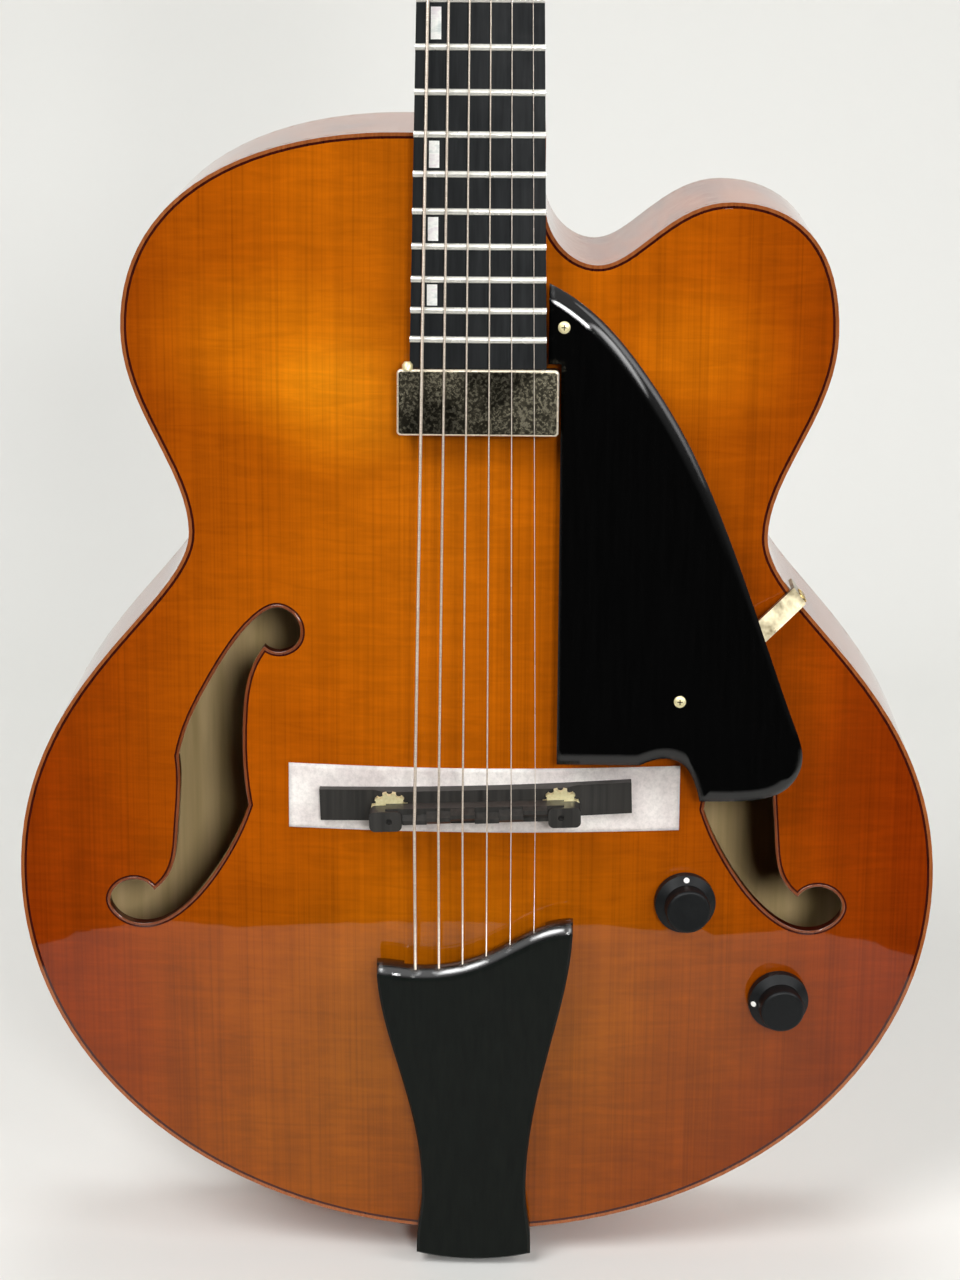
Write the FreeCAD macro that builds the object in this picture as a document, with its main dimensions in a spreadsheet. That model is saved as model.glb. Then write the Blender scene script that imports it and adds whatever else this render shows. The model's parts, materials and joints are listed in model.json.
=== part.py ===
import FreeCAD, Part
import math
import os

import Sketcher
from FreeCAD import Placement, Rotation, Vector

# Archtop guitar, standing upright: X to the treble side, Y to the back, Z up the neck.
# The origin is where the end pin's axis meets the bottom of the rim, at mid depth.

SIZES = {
    # Body outline, seen from the front
    "body_length": 500,
    "lower_bout_width": 406,
    "lower_bout_height": 170,
    "waist_width": 250,
    "waist_height": 328,
    "upper_bout_width": 305,
    "upper_bout_height": 416,
    "shoulder_reach": 35,
    "cutaway_wall_reach": 27.5,
    "cutaway_wall_height": 470,
    "cutaway_floor_reach": 50,
    "cutaway_floor_height": 445,
    "horn_reach": 106,
    "horn_height": 472,
    # Body section
    "rim_depth": 86,
    "top_arch": 17,
    "back_arch": 15,
    "arch_margin": 14,
    "top_thickness": 5,
    "back_thickness": 4.5,
    "rib_thickness": 2.6,
    "lining_width": 6,
    "lining_height": 14,
    "binding_width": 1.5,
    "purfling_width": 1.1,
    "neck_block_width": 80,
    "neck_block_length": 72,
    "tail_block_width": 84,
    "tail_block_length": 24,
    "tone_bar_width": 7,
    "tone_bar_height": 13,
    "tone_bar_length": 330,
    "tone_bar_foot": 72,
    "tone_bar_spread": 84,
    # F-holes
    "f_hole_width": 86,
    "f_hole_length": 146,
    "f_hole_reach": 120,
    "f_hole_height": 223,
    "f_hole_binding": 1.2,
    "f_hole_purfling": 0.8,
    # Neck and fretboard
    "scale_length": 648,
    "scale_end_height": 213,
    "neck_angle": 4,
    "nut_width": 43,
    "board_end_width": 57.4,
    "board_overhang": 12,
    "board_thickness": 6.2,
    "board_radius": 305,
    "neck_depth_at_nut": 14.5,
    "neck_depth_at_heel": 17,
    "heel_root_inset": 4,
    "heel_root_length": 66,
    "heel_cap_width": 31,
    "heel_cap_length": 19,
    "heel_cap_thickness": 3,
    "tongue_depth": 12,
    "tongue_margin": 3,
    "tongue_clearance": 0.4,
    "tenon_width": 34,
    "tenon_length": 42,
    "tenon_foot": 14,
    "fret_crown_width": 2.8,
    "fret_crown_height": 1.2,
    "fret_tang_width": 0.6,
    "fret_tang_depth": 1.9,
    "inlay_width": 4.3,
    "inlay_depth": 1.5,
    "nut_thickness": 5,
    "nut_rise": 2.6,
    "truss_rod_radius": 2.6,
    "truss_rod_drop": 8.4,
    "truss_rod_foot": 26,
    "truss_rod_reach": 17,
    "truss_nut_radius": 3.6,
    "truss_nut_length": 9,
    "truss_pocket_length": 26,
    "loose_fit": 0.2,
    # Headstock
    "head_angle": 14,
    "head_length": 178,
    "head_thickness": 13,
    "head_neck_width": 42,
    "head_low_width": 70,
    "head_low_height": 40,
    "head_top_width": 78,
    "head_shoulder_height": 156,
    "veneer_thickness": 2,
    "volute_length": 30,
    "rod_cover_width": 22,
    "rod_cover_length": 34,
    "rod_cover_foot": 3,
    "rod_cover_thickness": 1.8,
    # Tuning machines
    "tuner_first_height": 44,
    "tuner_spacing": 39,
    "tuner_edge": 13,
    "post_radius": 3,
    "post_waist_radius": 2.6,
    "post_waist_foot": 2.4,
    "post_waist_top": 8.6,
    "post_height": 12,
    "post_tail": 6,
    "running_fit": 0.06,
    "bushing_radius": 4.6,
    "bushing_flange_radius": 6.4,
    "bushing_flange_height": 1.6,
    "housing_length": 20,
    "housing_width": 16,
    "housing_depth": 11,
    "housing_fillet": 2.4,
    "worm_offset": 5.6,
    "key_shaft_radius": 2,
    "key_shaft_depth": 6,
    "key_stem_length": 8,
    "key_collar_radius": 3.4,
    "key_collar_length": 2,
    "key_button_length": 20,
    "key_button_width": 13,
    "key_button_thickness": 7,
    "key_button_fillet": 3,
    # Strings, from the thinnest to the thickest
    "string_gauge_one": 0.3,
    "string_gauge_two": 0.41,
    "string_gauge_three": 0.61,
    "string_gauge_four": 0.81,
    "string_gauge_five": 1.07,
    "string_gauge_six": 1.32,
    "string_spread_at_nut": 35,
    "string_spread_at_saddle": 52,
    "action": 2,
    "first_fret_gap": 0.5,
    "string_bend": 5,
    "string_seat": 0.1,
    "winding_top": 7.2,
    "winding_gap": 0.46,
    "ball_radius": 2,
    "ball_fit": 0.3,
    # Bridge
    "bridge_height": 24,
    "bridge_slant": 2,
    "sheet_length": 171,
    "sheet_width": 29,
    "sheet_shift": 3.6,
    "sheet_thickness": 0.8,
    "sheet_clearance": 0.1,
    "base_length": 136,
    "base_width": 14,
    "base_height": 7.5,
    "base_wing": 5.5,
    "base_wing_length": 22,
    "base_ramp_length": 9,
    "bridge_post_spread": 74,
    "bridge_post_radius": 1.6,
    "bridge_post_depth": 5,
    "bridge_post_length": 15,
    "wheel_radius": 8.2,
    "wheel_thickness": 3,
    "wheel_height": 9.8,
    "wheel_scallop_radius": 1.3,
    "saddle_length": 91,
    "saddle_lug_length": 14,
    "saddle_lug_width": 8.8,
    "saddle_lug_drop": 1.6,
    "saddle_lug_height": 9.6,
    "saddle_lug_fillet": 2.4,
    "saddle_bore_depth": 7.6,
    "saddle_hole_radius": 1.3,
    "saddle_bar_width": 7,
    "saddle_bar_height": 7.6,
    "saddle_crest_foot": 6,
    "saddle_crest_top": 1.8,
    "saddle_radius": 305,
    # Tailpiece
    "tail_length": 163,
    "tail_bass_length": 142,
    "tail_width": 86,
    "tail_dip": 1.6,
    "tail_dip_reach": 20,
    "tail_ear_width": 12,
    "tail_ear_height": 7,
    "tail_waist_width": 47,
    "tail_waist_height": 28,
    "tail_foot_width": 52,
    "tail_foot_drop": 7,
    "tail_foot_bulge": 3.4,
    "tail_thickness": 9,
    "tail_edge_fillet": 5.5,
    "tail_back_fillet": 3.2,
    "tail_side_bevel": 1.2,
    "tail_clearance": 1.2,
    "tail_lap": 24,
    "string_anchor_depth": 15,
    "tail_bracket_width": 34,
    "tail_bracket_thickness": 2,
    "tail_bracket_reach": 15,
    # End-pin jack and strap button
    "jack_bore_radius": 3.25,
    "jack_bore_depth": 34,
    "jack_barrel_radius": 5.6,
    "jack_end_wall": 3,
    "pin_flange_radius": 9,
    "pin_flange_height": 2.6,
    "pin_waist_radius": 6.4,
    "pin_waist_length": 6,
    "button_flange_radius": 7,
    "button_waist_radius": 4,
    "button_foot_height": 2,
    "button_waist_length": 6,
    "button_flange_height": 3,
    "button_screw_radius": 1.8,
    "button_screw_length": 16,
    # Pickup
    "pickup_length": 68,
    "pickup_width": 28,
    "pickup_height": 9,
    "pickup_centre": 177.8,
    "pickup_string_gap": 2.6,
    "pickup_corner": 1.8,
    "pickup_edge": 1.2,
    "pickup_wall": 0.8,
    "pickup_plate": 1.2,
    "pickup_ear_reach": 22,
    "pickup_ear_width": 7,
    "pickup_ear_length": 3,
    # Pickguard
    "guard_width": 111,
    "guard_length": 226,
    "guard_foot": 5,
    "guard_reach": 29.5,
    "guard_step": 5.4,
    "guard_thickness": 3,
    "guard_bevel_width": 5.6,
    "guard_bevel_depth": 1.6,
    "guard_drop": 5,
    "strap_width": 9,
    "strap_thickness": 1.6,
    "strap_root_reach": 87,
    "strap_root_height": 264,
    "strap_rim_reach": 138,
    "strap_rim_height": 301.5,
    "strap_leg": 15,
    "strap_gap": 0.4,
    # Controls
    "volume_reach": 92,
    "volume_height": 166,
    "tone_reach": 135,
    "tone_height": 118,
    "pot_body_radius": 12,
    "pot_body_height": 11,
    "pot_bush_radius": 4.6,
    "pot_bush_height": 6,
    "pot_nut_radius": 6.4,
    "pot_nut_height": 1.8,
    "pot_shaft_radius": 3,
    "seat_gap": 0.3,
    "knob_radius": 13.4,
    "knob_skirt_height": 4,
    "knob_shoulder_height": 6.5,
    "knob_top_radius": 9.8,
    "knob_height": 14.5,
    "knob_edge_fillet": 1.4,
    "knob_recess_radius": 8,
    "knob_recess_depth": 5,
    "knob_lift": 1.8,
    # One overrun serves every cut
    "overrun": 20,
}

FRETS = 20
INLAID_FRETS = (3, 5, 7, 9, 12, 15, 17, 19)
STRING_GAUGES = ("one", "two", "three", "four", "five", "six")
STRINGS = range(1, len(STRING_GAUGES) + 1)
STRING_SIDES = 6
WINDING_TURNS = 2
TURN_STEPS = 8
WHEEL_SCALLOPS = 12
ARCH_COLUMNS = 25
ARCH_ROWS = 31
OUTLINE_SAMPLES = 420
SLOPE_SAMPLES = 12

# Shares, chosen by eye, of the sizes that they follow
ARCH_FULLNESS_SHARE = 1.5
LOWER_CURVE_SHARES = (0.57, 0.55)
FLANK_CURVE_SHARES = (0.57, 0.21)
CHEST_CURVE_SHARES = (0.32, 0.39)
SHOULDER_CURVE_SHARES = (0.68, 0.54)
HORN_CURVE_SHARES = (0.8, 0.46)
CUTAWAY_CURVE_SHARES = (0.47, 0.29)
CUTAWAY_ROOT_SHARES = (0.54, 0.49)
HEEL_DEPTH_SHARES = (0, 0.13, 0.32, 0.62, 1)
HEEL_LENGTH_SHARES = (1, 0.38, 0.16, 0.05, 0)
HEEL_WIDTH_SHARES = (1, 0.9, 0.68, 0.32, 0)
HEAD_FLARE_SHARES = (0.55, 0.5)
HEAD_CROWN_SHARES = (0.62, 0.5)
TAIL_FOOT_SHARES = (0.5, 0.5)
TAIL_FLARE_SHARES = (0.4, 0.3)
TAIL_DIP_SHARES = (0.4, 0.5)
TAIL_WAVE_SHARES = (0.5, 0.35)
INLAY_LENGTH_SHARE = 0.68
INLAY_REACH_SHARE = 0.685
COMPENSATION_SHARES = (0.18, -0.1, -0.26, 0.04, -0.12, -0.3)
ROD_COVER_NECK_SHARE = 0.45

# F-hole corners and the points between them, as shares of its width (towards the middle of the
# body) and of its length (towards the neck)
F_UPPER_LOBE_SHARES = ((-0.126, 0.033), (-0.079, 0.129), (0.025, 0.255), (0.155, 0.38), (0.282, 0.467),
                       (0.393, 0.5), (0.494, 0.459), (0.49, 0.397), (0.406, 0.366), (0.32, 0.381))
F_INNER_SIDE_SHARES = ((0.32, 0.381), (0.238, 0.287), (0.208, 0.16), (0.218, -0.05), (0.233, -0.107))
F_LOWER_LOBE_SHARES = ((0.233, -0.107), (0.192, -0.171), (0.06, -0.316), (-0.125, -0.447), (-0.281, -0.5),
                       (-0.435, -0.488), (-0.5, -0.433), (-0.44, -0.375), (-0.327, -0.365), (-0.267, -0.393))
F_OUTER_SIDE_SHARES = ((-0.267, -0.393), (-0.166, -0.311), (-0.136, -0.189), (-0.119, -0.02), (-0.126, 0.033))

# Pickguard edge, as shares of its width (away from the strings) and of its length (towards the neck)
GUARD_OUTER_SHARES = ((0, 0.984), (0.173, 0.928), (0.376, 0.813), (0.523, 0.699), (0.664, 0.551), (0.85, 0.308),
                      (0.968, 0.149), (1, 0.078), (0.95, 0.03), (0.8, 0.003), (0.606, 0))
GUARD_NOTCH_SHARES = ((0.606, 0), (0.593, 0.026), (0.57, 0.053), (0.372, 0.07))
GUARD_FOOT_SHARE = 0.07
GUARD_STEP_SHARE = 0.835

doc = FreeCAD.newDocument("ArchtopGuitar")
sizes = doc.addObject("Spreadsheet::Sheet", "Sizes")
for row, (name, value) in enumerate(SIZES.items(), start=1):
    sizes.set(f"A{row}", name)
    sizes.set(f"B{row}", str(value))
    sizes.setAlias(f"B{row}", name)
doc.recompute()

pieces = []
front_edge = -sizes.rim_depth / 2
back_edge = sizes.rim_depth / 2
crown_y = front_edge - sizes.top_arch
UP = Vector(0, 0, 1)
BACKWARD = Vector(0, 1, 0)
RIGHT = Vector(1, 0, 0)


# Helpers

def add_shape(label, shape, place=Placement()):
    """Keep a ready shape as a document object, and place it."""
    piece = doc.addObject("Part::Feature", label)
    piece.Shape = shape
    piece.Placement = place
    pieces.append(piece)
    return piece


def plan(x, z):
    """A point of an outline that is seen from the front."""
    return Vector(x, 0, z)


def eased(start, start_axis, end, end_axis, shares):
    """A curve that leaves its start and reaches its end along the given axes."""
    gap = end - start
    pulls = {"x": Vector(gap.x, 0, 0), "z": Vector(0, 0, gap.z)}
    curve = Part.BezierCurve()
    curve.setPoles([start, start + pulls[start_axis] * shares[0], end - pulls[end_axis] * shares[1], end])
    return curve.toShape()


def line(start, end):
    return Part.makeLine(start, end)


def spline(points):
    curve = Part.BSplineCurve()
    curve.interpolate(points)
    return curve.toShape()


def mirrored(shape):
    return shape.mirror(Vector(), RIGHT)


def prism(wire, low, high):
    """A solid with an outline seen from the front, from one depth to another."""
    face = Part.Face(wire)
    face.translate(BACKWARD * low)
    return face.extrude(BACKWARD * (high - low))


def block(low, high):
    """A box between two corners."""
    span = high - low
    return Part.makeBox(span.x, span.y, span.z, low)


def rod(radius, start, end):
    """A round bar between two points."""
    way = end - start
    return Part.makeCylinder(radius, way.Length, start, way)


def side_of(shape, side):
    """The half of a shape on the treble side, 1, or the bass side, -1."""
    box = shape.BoundBox
    low = Vector(0, box.YMin, box.ZMin)
    high = Vector(box.XMax, box.YMax, box.ZMax)
    if side < 0:
        low, high = Vector(box.XMin, box.YMin, box.ZMin), Vector(0, box.YMax, box.ZMax)
    return shape.common(block(low, high))


def revolved(label, corners, placement=Placement(), keep=True):
    """A body turned from corners given as expressions of radius and height, each zero or more."""
    body = doc.addObject("PartDesign::Body", label)
    plane = [item for item in body.Origin.OriginFeatures if item.Role == "XZ_Plane"][0]
    sketch = body.newObject("Sketcher::SketchObject", label + "_profile")
    sketch.AttachmentSupport = [(plane, "")]
    sketch.MapMode = "FlatFace"
    places = [Vector(*(float(sizes.evalExpression(text)) for text in corner), 0) for corner in corners]
    count = len(corners)
    for index in range(count):
        sketch.addGeometry(Part.LineSegment(places[index], places[(index + 1) % count]))
    for index in range(count):
        sketch.addConstraint(Sketcher.Constraint("Coincident", index, 2, (index + 1) % count, 1))
    for index, corner in enumerate(corners):
        for kind, axis, text, amount in (("DistanceX", -2, corner[0], places[index].x),
                                         ("DistanceY", -1, corner[1], places[index].y)):
            if text == "0":
                sketch.addConstraint(Sketcher.Constraint("PointOnObject", index, 1, axis))
                continue
            number = sketch.addConstraint(Sketcher.Constraint(kind, -1, 1, index, 1, amount))
            sketch.setExpression(f"Constraints[{number}]", in_sheet(text))
    turn = body.newObject("PartDesign::Revolution", label + "_turn")
    turn.Profile = sketch
    turn.ReferenceAxis = (sketch, ["V_Axis"])
    turn.Angle = 360
    sketch.Visibility = False
    body.Placement = placement
    if keep:
        pieces.append(body)
    return body


def in_sheet(text):
    """Point the names in an expression at the sheet's cells."""
    words = [("Sizes." + word if word in SIZES else word) for word in text.split()]
    return " ".join(words)


def copies(shape, places):
    """One compound of a shape at several places."""
    turned = []
    for place in places:
        copy = shape.copy()
        copy.Placement = place.multiply(copy.Placement)
        turned.append(copy)
    return Part.makeCompound(turned)


# Body outline and arching

def body_outline():
    bottom = plan(0, 0)
    top = sizes.body_length

    def flank(side):
        lower = plan(side * sizes.lower_bout_width / 2, sizes.lower_bout_height)
        waist = plan(side * sizes.waist_width / 2, sizes.waist_height)
        upper = plan(side * sizes.upper_bout_width / 2, sizes.upper_bout_height)
        return upper, [eased(bottom, "x", lower, "z", LOWER_CURVE_SHARES),
                       eased(lower, "z", waist, "z", FLANK_CURVE_SHARES),
                       eased(waist, "z", upper, "z", CHEST_CURVE_SHARES)]

    bass_upper, bass_edges = flank(-1)
    treble_upper, treble_edges = flank(1)
    shoulder = plan(-sizes.shoulder_reach, top)
    wall_top = plan(sizes.cutaway_wall_reach, top)
    wall_foot = plan(sizes.cutaway_wall_reach, sizes.cutaway_wall_height)
    floor = plan(sizes.cutaway_floor_reach, sizes.cutaway_floor_height)
    horn = plan(sizes.horn_reach, sizes.horn_height)
    crown = [eased(bass_upper, "z", shoulder, "x", SHOULDER_CURVE_SHARES),
             line(shoulder, wall_top),
             line(wall_top, wall_foot),
             eased(floor, "x", wall_foot, "z", CUTAWAY_ROOT_SHARES),
             eased(horn, "x", floor, "x", CUTAWAY_CURVE_SHARES),
             eased(treble_upper, "z", horn, "x", HORN_CURVE_SHARES)]
    return Part.Wire(Part.__sortEdges__(bass_edges + crown + treble_edges))


outline = body_outline()


def grown(wire, amount):
    """An outline moved outwards by an amount, or inwards by a negative one."""
    return wire.makeOffset2D(amount).toNurbs()


def inset(amount):
    """The body outline, drawn in by an amount."""
    return grown(outline, -amount)


def edge_ring(outer, inner, low, high):
    """A band along the body's edge between two insets."""
    whole = prism(inset(outer) if outer else outline, low, high)
    return whole.cut(prism(inset(inner), low - sizes.overrun, high + sizes.overrun))


outline_face = Part.Face(outline)
outline_points = outline.discretize(Number=OUTLINE_SAMPLES)
sample_length = outline.Length / OUTLINE_SAMPLES


def edge_distance(x, z):
    """A smooth measure of the distance to the outline, with no ridges inside it."""
    total = 0
    for point in outline_points:
        reach = max(math.hypot(point.x - x, point.z - z), sample_length / 2)
        total += sample_length / reach ** 3
    return math.sqrt(2 / total)


crown_distance = edge_distance(0, sizes.scale_end_height)


def rise(x, z):
    """The arch's height as a share of its height under the bridge."""
    if not outline_face.isInside(plan(x, z), sizes.string_seat, True):
        return 0
    return (edge_distance(x, z) / crown_distance) ** ARCH_FULLNESS_SHARE


half_span = sizes.lower_bout_width / 2 + sizes.arch_margin
grid_places = [[(half_span * (2 * column / (ARCH_COLUMNS - 1) - 1),
                 (sizes.body_length + 2 * sizes.arch_margin) * row / (ARCH_ROWS - 1) - sizes.arch_margin)
                for column in range(ARCH_COLUMNS)] for row in range(ARCH_ROWS)]
grid_rises = [[rise(x, z) for x, z in places] for places in grid_places]


def arched_face(edge, arch):
    """The carved surface that starts at an edge depth and bulges by the arch."""
    surface = Part.BSplineSurface()
    surface.interpolate([[Vector(x, edge + arch * share, z) for (x, z), share in zip(places, shares)]
                         for places, shares in zip(grid_places, grid_rises)])
    return surface.toShape()


top_face = arched_face(front_edge, -sizes.top_arch)
top_inner_face = arched_face(front_edge + sizes.top_thickness, -sizes.top_arch)
back_face = arched_face(back_edge, sizes.back_arch)
back_inner_face = arched_face(back_edge - sizes.back_thickness, sizes.back_arch)
top_slab = top_face.extrude(BACKWARD * sizes.top_thickness)
back_slab = back_face.extrude(BACKWARD * -sizes.back_thickness)
behind_top = top_inner_face.extrude(BACKWARD * sizes.rim_depth)
before_back = back_inner_face.extrude(BACKWARD * -sizes.rim_depth)


def top_depth(x, z):
    """The depth of the top's outer surface at a place."""
    return front_edge - sizes.top_arch * rise(x, z)


def top_normal(x, z):
    """The direction straight out of the top at a place."""
    step = sizes.arch_margin / 2
    across = (top_depth(x + step, z) - top_depth(x - step, z)) / (2 * step)
    along = (top_depth(x, z + step) - top_depth(x, z - step)) / (2 * step)
    return Vector(across, -1, along).normalize()


# Frames that pieces are placed in

string_height_at_nut = sizes.fret_crown_height + sizes.first_fret_gap
string_height_at_saddle = 2 * (sizes.action + sizes.fret_crown_height) - string_height_at_nut
neck_y = crown_y - sizes.bridge_height + string_height_at_saddle
neck_place = Placement(Vector(0, neck_y, sizes.scale_end_height), Rotation(RIGHT, -sizes.neck_angle))
head_root = Vector(0, sizes.board_thickness, sizes.scale_length + sizes.nut_thickness)
head_place = neck_place.multiply(Placement(head_root,
                                           Rotation(RIGHT, -sizes.head_angle)))
bridge_place = Placement(Vector(0, crown_y, sizes.scale_end_height), Rotation(BACKWARD, -sizes.bridge_slant))
neck_lean = math.radians(sizes.neck_angle)
joint_z = (sizes.body_length - sizes.scale_end_height) / math.cos(neck_lean)


def control_place(x, z):
    """A control's frame: on the top, with its axis straight out of it."""
    return Placement(Vector(x, top_depth(x, z), z), Rotation(UP, top_normal(x, z)))


volume_place = control_place(sizes.volume_reach, sizes.volume_height)
tone_place = control_place(sizes.tone_reach, sizes.tone_height)


def tail_tilt():
    """The least tilt, in degrees, that keeps the tailpiece clear of the arch."""
    steepest = 0
    for step in range(1, SLOPE_SAMPLES + 1):
        z = sizes.tail_length * step / SLOPE_SAMPLES
        steepest = max(steepest, math.atan2(front_edge - top_depth(0, z) + sizes.tail_clearance, z))
    return math.degrees(steepest)


tail_place = Placement(Vector(0, front_edge - sizes.tail_clearance, 0), Rotation(RIGHT, tail_tilt()))
button_seat = Vector(0, back_edge - sizes.button_screw_length, sizes.body_length + sizes.heel_cap_length / 2)


# Body pieces

def f_hole_outline():
    """The opening of the bass f-hole, with its corners at the nicks and at the lobes' necks."""
    def spread(shares):
        return [plan(across * sizes.f_hole_width - sizes.f_hole_reach,
                     along * sizes.f_hole_length + sizes.f_hole_height)
                for across, along in shares]
    sides = (F_UPPER_LOBE_SHARES, F_INNER_SIDE_SHARES, F_LOWER_LOBE_SHARES, F_OUTER_SIDE_SHARES)
    return Part.Wire([spline(spread(side)) for side in sides])


f_hole = f_hole_outline()
f_low = crown_y - sizes.overrun
f_high = front_edge + sizes.overrun
f_opening = prism(f_hole, f_low, f_high)
f_bound = prism(grown(f_hole, sizes.f_hole_binding), f_low, f_high)
f_purfled = prism(grown(f_hole, sizes.f_hole_binding + sizes.f_hole_purfling), f_low, f_high)


def carved(slab, hole, core):
    """A band of a carved plate, between a wider prism and a narrower one."""
    return slab.common(hole.cut(core))


def make_plates():
    edge = sizes.binding_width + sizes.purfling_width
    holes = [f_purfled, mirrored(f_purfled)]
    for place in (volume_place, tone_place):
        hole = rod(sizes.pot_bush_radius + sizes.loose_fit, UP * -sizes.overrun, UP * sizes.overrun)
        hole.Placement = place
        holes.append(hole)
    whole = prism(inset(edge), crown_y - sizes.overrun, -crown_y + sizes.overrun)
    add_shape("top_plate", top_slab.common(whole).cut(holes))
    add_shape("back_plate", back_slab.common(whole))


def make_edge_trim():
    edge = sizes.binding_width + sizes.purfling_width
    inner_front = front_edge + sizes.top_thickness
    inner_back = back_edge - sizes.back_thickness
    add_shape("top_binding", edge_ring(0, sizes.binding_width, front_edge, inner_front))
    add_shape("back_binding", edge_ring(0, sizes.binding_width, inner_back, back_edge))
    f_ring = carved(top_slab, f_purfled, f_bound)
    rings = [edge_ring(sizes.binding_width, edge, front_edge, inner_front),
             edge_ring(sizes.binding_width, edge, inner_back, back_edge),
             f_ring, mirrored(f_ring)]
    add_shape("purflings", Part.makeCompound(rings))
    f_binding = carved(top_slab, f_bound, f_opening)
    add_shape("f_hole_bindings", Part.makeCompound([f_binding, mirrored(f_binding)]))


def tenon_shape(overlap):
    """The neck's tenon, and the mortise that takes it."""
    low = Vector(-sizes.tenon_width / 2, front_edge + sizes.top_thickness,
                 sizes.body_length - sizes.tenon_length)
    high = Vector(sizes.tenon_width / 2, back_edge - sizes.back_thickness - sizes.tenon_foot,
                  sizes.body_length + overlap)
    return block(low, high)


def jack_hole():
    deep = sizes.jack_bore_depth + sizes.overrun
    return rod(sizes.jack_barrel_radius + sizes.loose_fit, UP * -sizes.overrun, UP * deep)


def block_boxes():
    neck_half = Vector(sizes.neck_block_width / 2, sizes.rim_depth, 0)
    tail_half = Vector(sizes.tail_block_width / 2, sizes.rim_depth, 0)
    neck_foot = UP * (sizes.body_length - sizes.neck_block_length)
    neck_box = block(neck_foot - neck_half, UP * sizes.body_length + neck_half)
    tail_box = block(tail_half * -1, tail_half + UP * (sizes.tail_block_length + sizes.rib_thickness))
    return neck_box, tail_box


def make_rim():
    low = front_edge + sizes.top_thickness
    high = back_edge - sizes.back_thickness
    mortise = tenon_shape(sizes.overrun)
    rim = edge_ring(0, sizes.rib_thickness, low, high).cut([mortise, jack_hole()])
    add_shape("bass_rib", side_of(rim, -1))
    add_shape("treble_rib", side_of(rim, 1))
    neck_box, tail_box = block_boxes()
    lining_depth = sizes.rib_thickness + sizes.lining_width
    for label, start, end in (("top_lining", low, low + sizes.lining_height),
                              ("back_lining", high - sizes.lining_height, high)):
        ring = edge_ring(sizes.rib_thickness, lining_depth, start, end)
        add_shape(label, ring.cut([neck_box, tail_box]))
    inside = prism(inset(sizes.rib_thickness), crown_y, -crown_y)
    neck_block = neck_box.common(inside).common(behind_top).common(before_back)
    add_shape("neck_block", neck_block.cut(mortise))
    tail_block = tail_box.common(inside).common(behind_top).common(before_back)
    add_shape("tail_block", tail_block.cut(jack_hole()))


def make_tone_bars():
    strip = top_inner_face.extrude(BACKWARD * sizes.tone_bar_height)
    bars = []
    for side in (-1, 1):
        middle = Vector(side * sizes.tone_bar_spread / 2, 0, sizes.tone_bar_foot)
        half = Vector(sizes.tone_bar_width / 2, sizes.rim_depth, 0)
        bars.append(strip.common(block(middle - half, middle + half + UP * sizes.tone_bar_length)))
    add_shape("tone_bars", Part.makeCompound(bars))


# Neck

def fret_height(number):
    """A fret's distance from the end of the scale at the bridge."""
    return sizes.scale_length / 2 ** (number / 12)


board_end = fret_height(FRETS) - sizes.board_overhang


def board_width(z):
    share = (sizes.scale_length - z) / (sizes.scale_length - board_end)
    return sizes.nut_width + (sizes.board_end_width - sizes.nut_width) * share


def d_section(width, depth, base, z):
    """A neck section: flat on the fretboard's side and round behind."""
    half = width / 2
    # The curve's middle lies at three quarters of its handles' depth
    pull = base + depth * 4 / 3
    curve = Part.BezierCurve()
    curve.setPoles([Vector(half, base, z), Vector(half, pull, z),
                    Vector(-half, pull, z), Vector(-half, base, z)])
    return Part.Wire([line(Vector(-half, base, z), Vector(half, base, z)), curve.toShape()])


def heel_section(width, length, y):
    """A heel section, flat on the body's end and round above."""
    section = d_section(width, length, 0, 0)
    section.rotate(Vector(), RIGHT, 90)
    section.translate(Vector(0, y, sizes.body_length))
    return section


def head_outline():
    half_neck = sizes.head_neck_width / 2
    half_low = sizes.head_low_width / 2
    half_top = sizes.head_top_width / 2
    low = plan(half_low, sizes.head_low_height)
    shoulder = plan(half_top, sizes.head_shoulder_height)
    side = [eased(plan(half_neck, 0), "z", low, "z", HEAD_FLARE_SHARES),
            line(low, shoulder),
            eased(shoulder, "z", plan(0, sizes.head_length), "x", HEAD_CROWN_SHARES)]
    other = [mirrored(edge) for edge in side]
    foot = line(plan(-half_neck, 0), plan(half_neck, 0))
    return Part.Wire(Part.__sortEdges__(side + other + [foot]))


def head_half_width(z):
    share = (z - sizes.head_low_height) / (sizes.head_shoulder_height - sizes.head_low_height)
    return (sizes.head_low_width + (sizes.head_top_width - sizes.head_low_width) * share) / 2


def tuner_spot(number):
    """A string's post on the headstock: its side, across and along."""
    side = 1 if number <= len(STRING_GAUGES) / 2 else -1
    rank = number - 1 if side > 0 else len(STRING_GAUGES) - number
    along = sizes.tuner_first_height + sizes.tuner_spacing * rank
    return side, side * (head_half_width(along) - sizes.tuner_edge), along


def post_place(number):
    """A post's frame: on the headstock's face, with its axis straight out of it."""
    side, across, along = tuner_spot(number)
    return head_place.multiply(Placement(plan(across, along), Rotation(RIGHT, 90)))


def placed(shape, place):
    copy = shape.copy()
    copy.Placement = place.multiply(copy.Placement)
    return copy


def make_headstock():
    face = head_outline()
    veneer = prism(face, 0, sizes.veneer_thickness)
    slab = prism(face, sizes.veneer_thickness, sizes.veneer_thickness + sizes.head_thickness)
    holes = []
    for number in STRINGS:
        side, across, along = tuner_spot(number)
        reach = BACKWARD * sizes.overrun
        holes.append(rod(sizes.bushing_radius, plan(across, along) - reach, plan(across, along) + reach))
    return veneer.cut(holes), slab.cut(holes)


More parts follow.
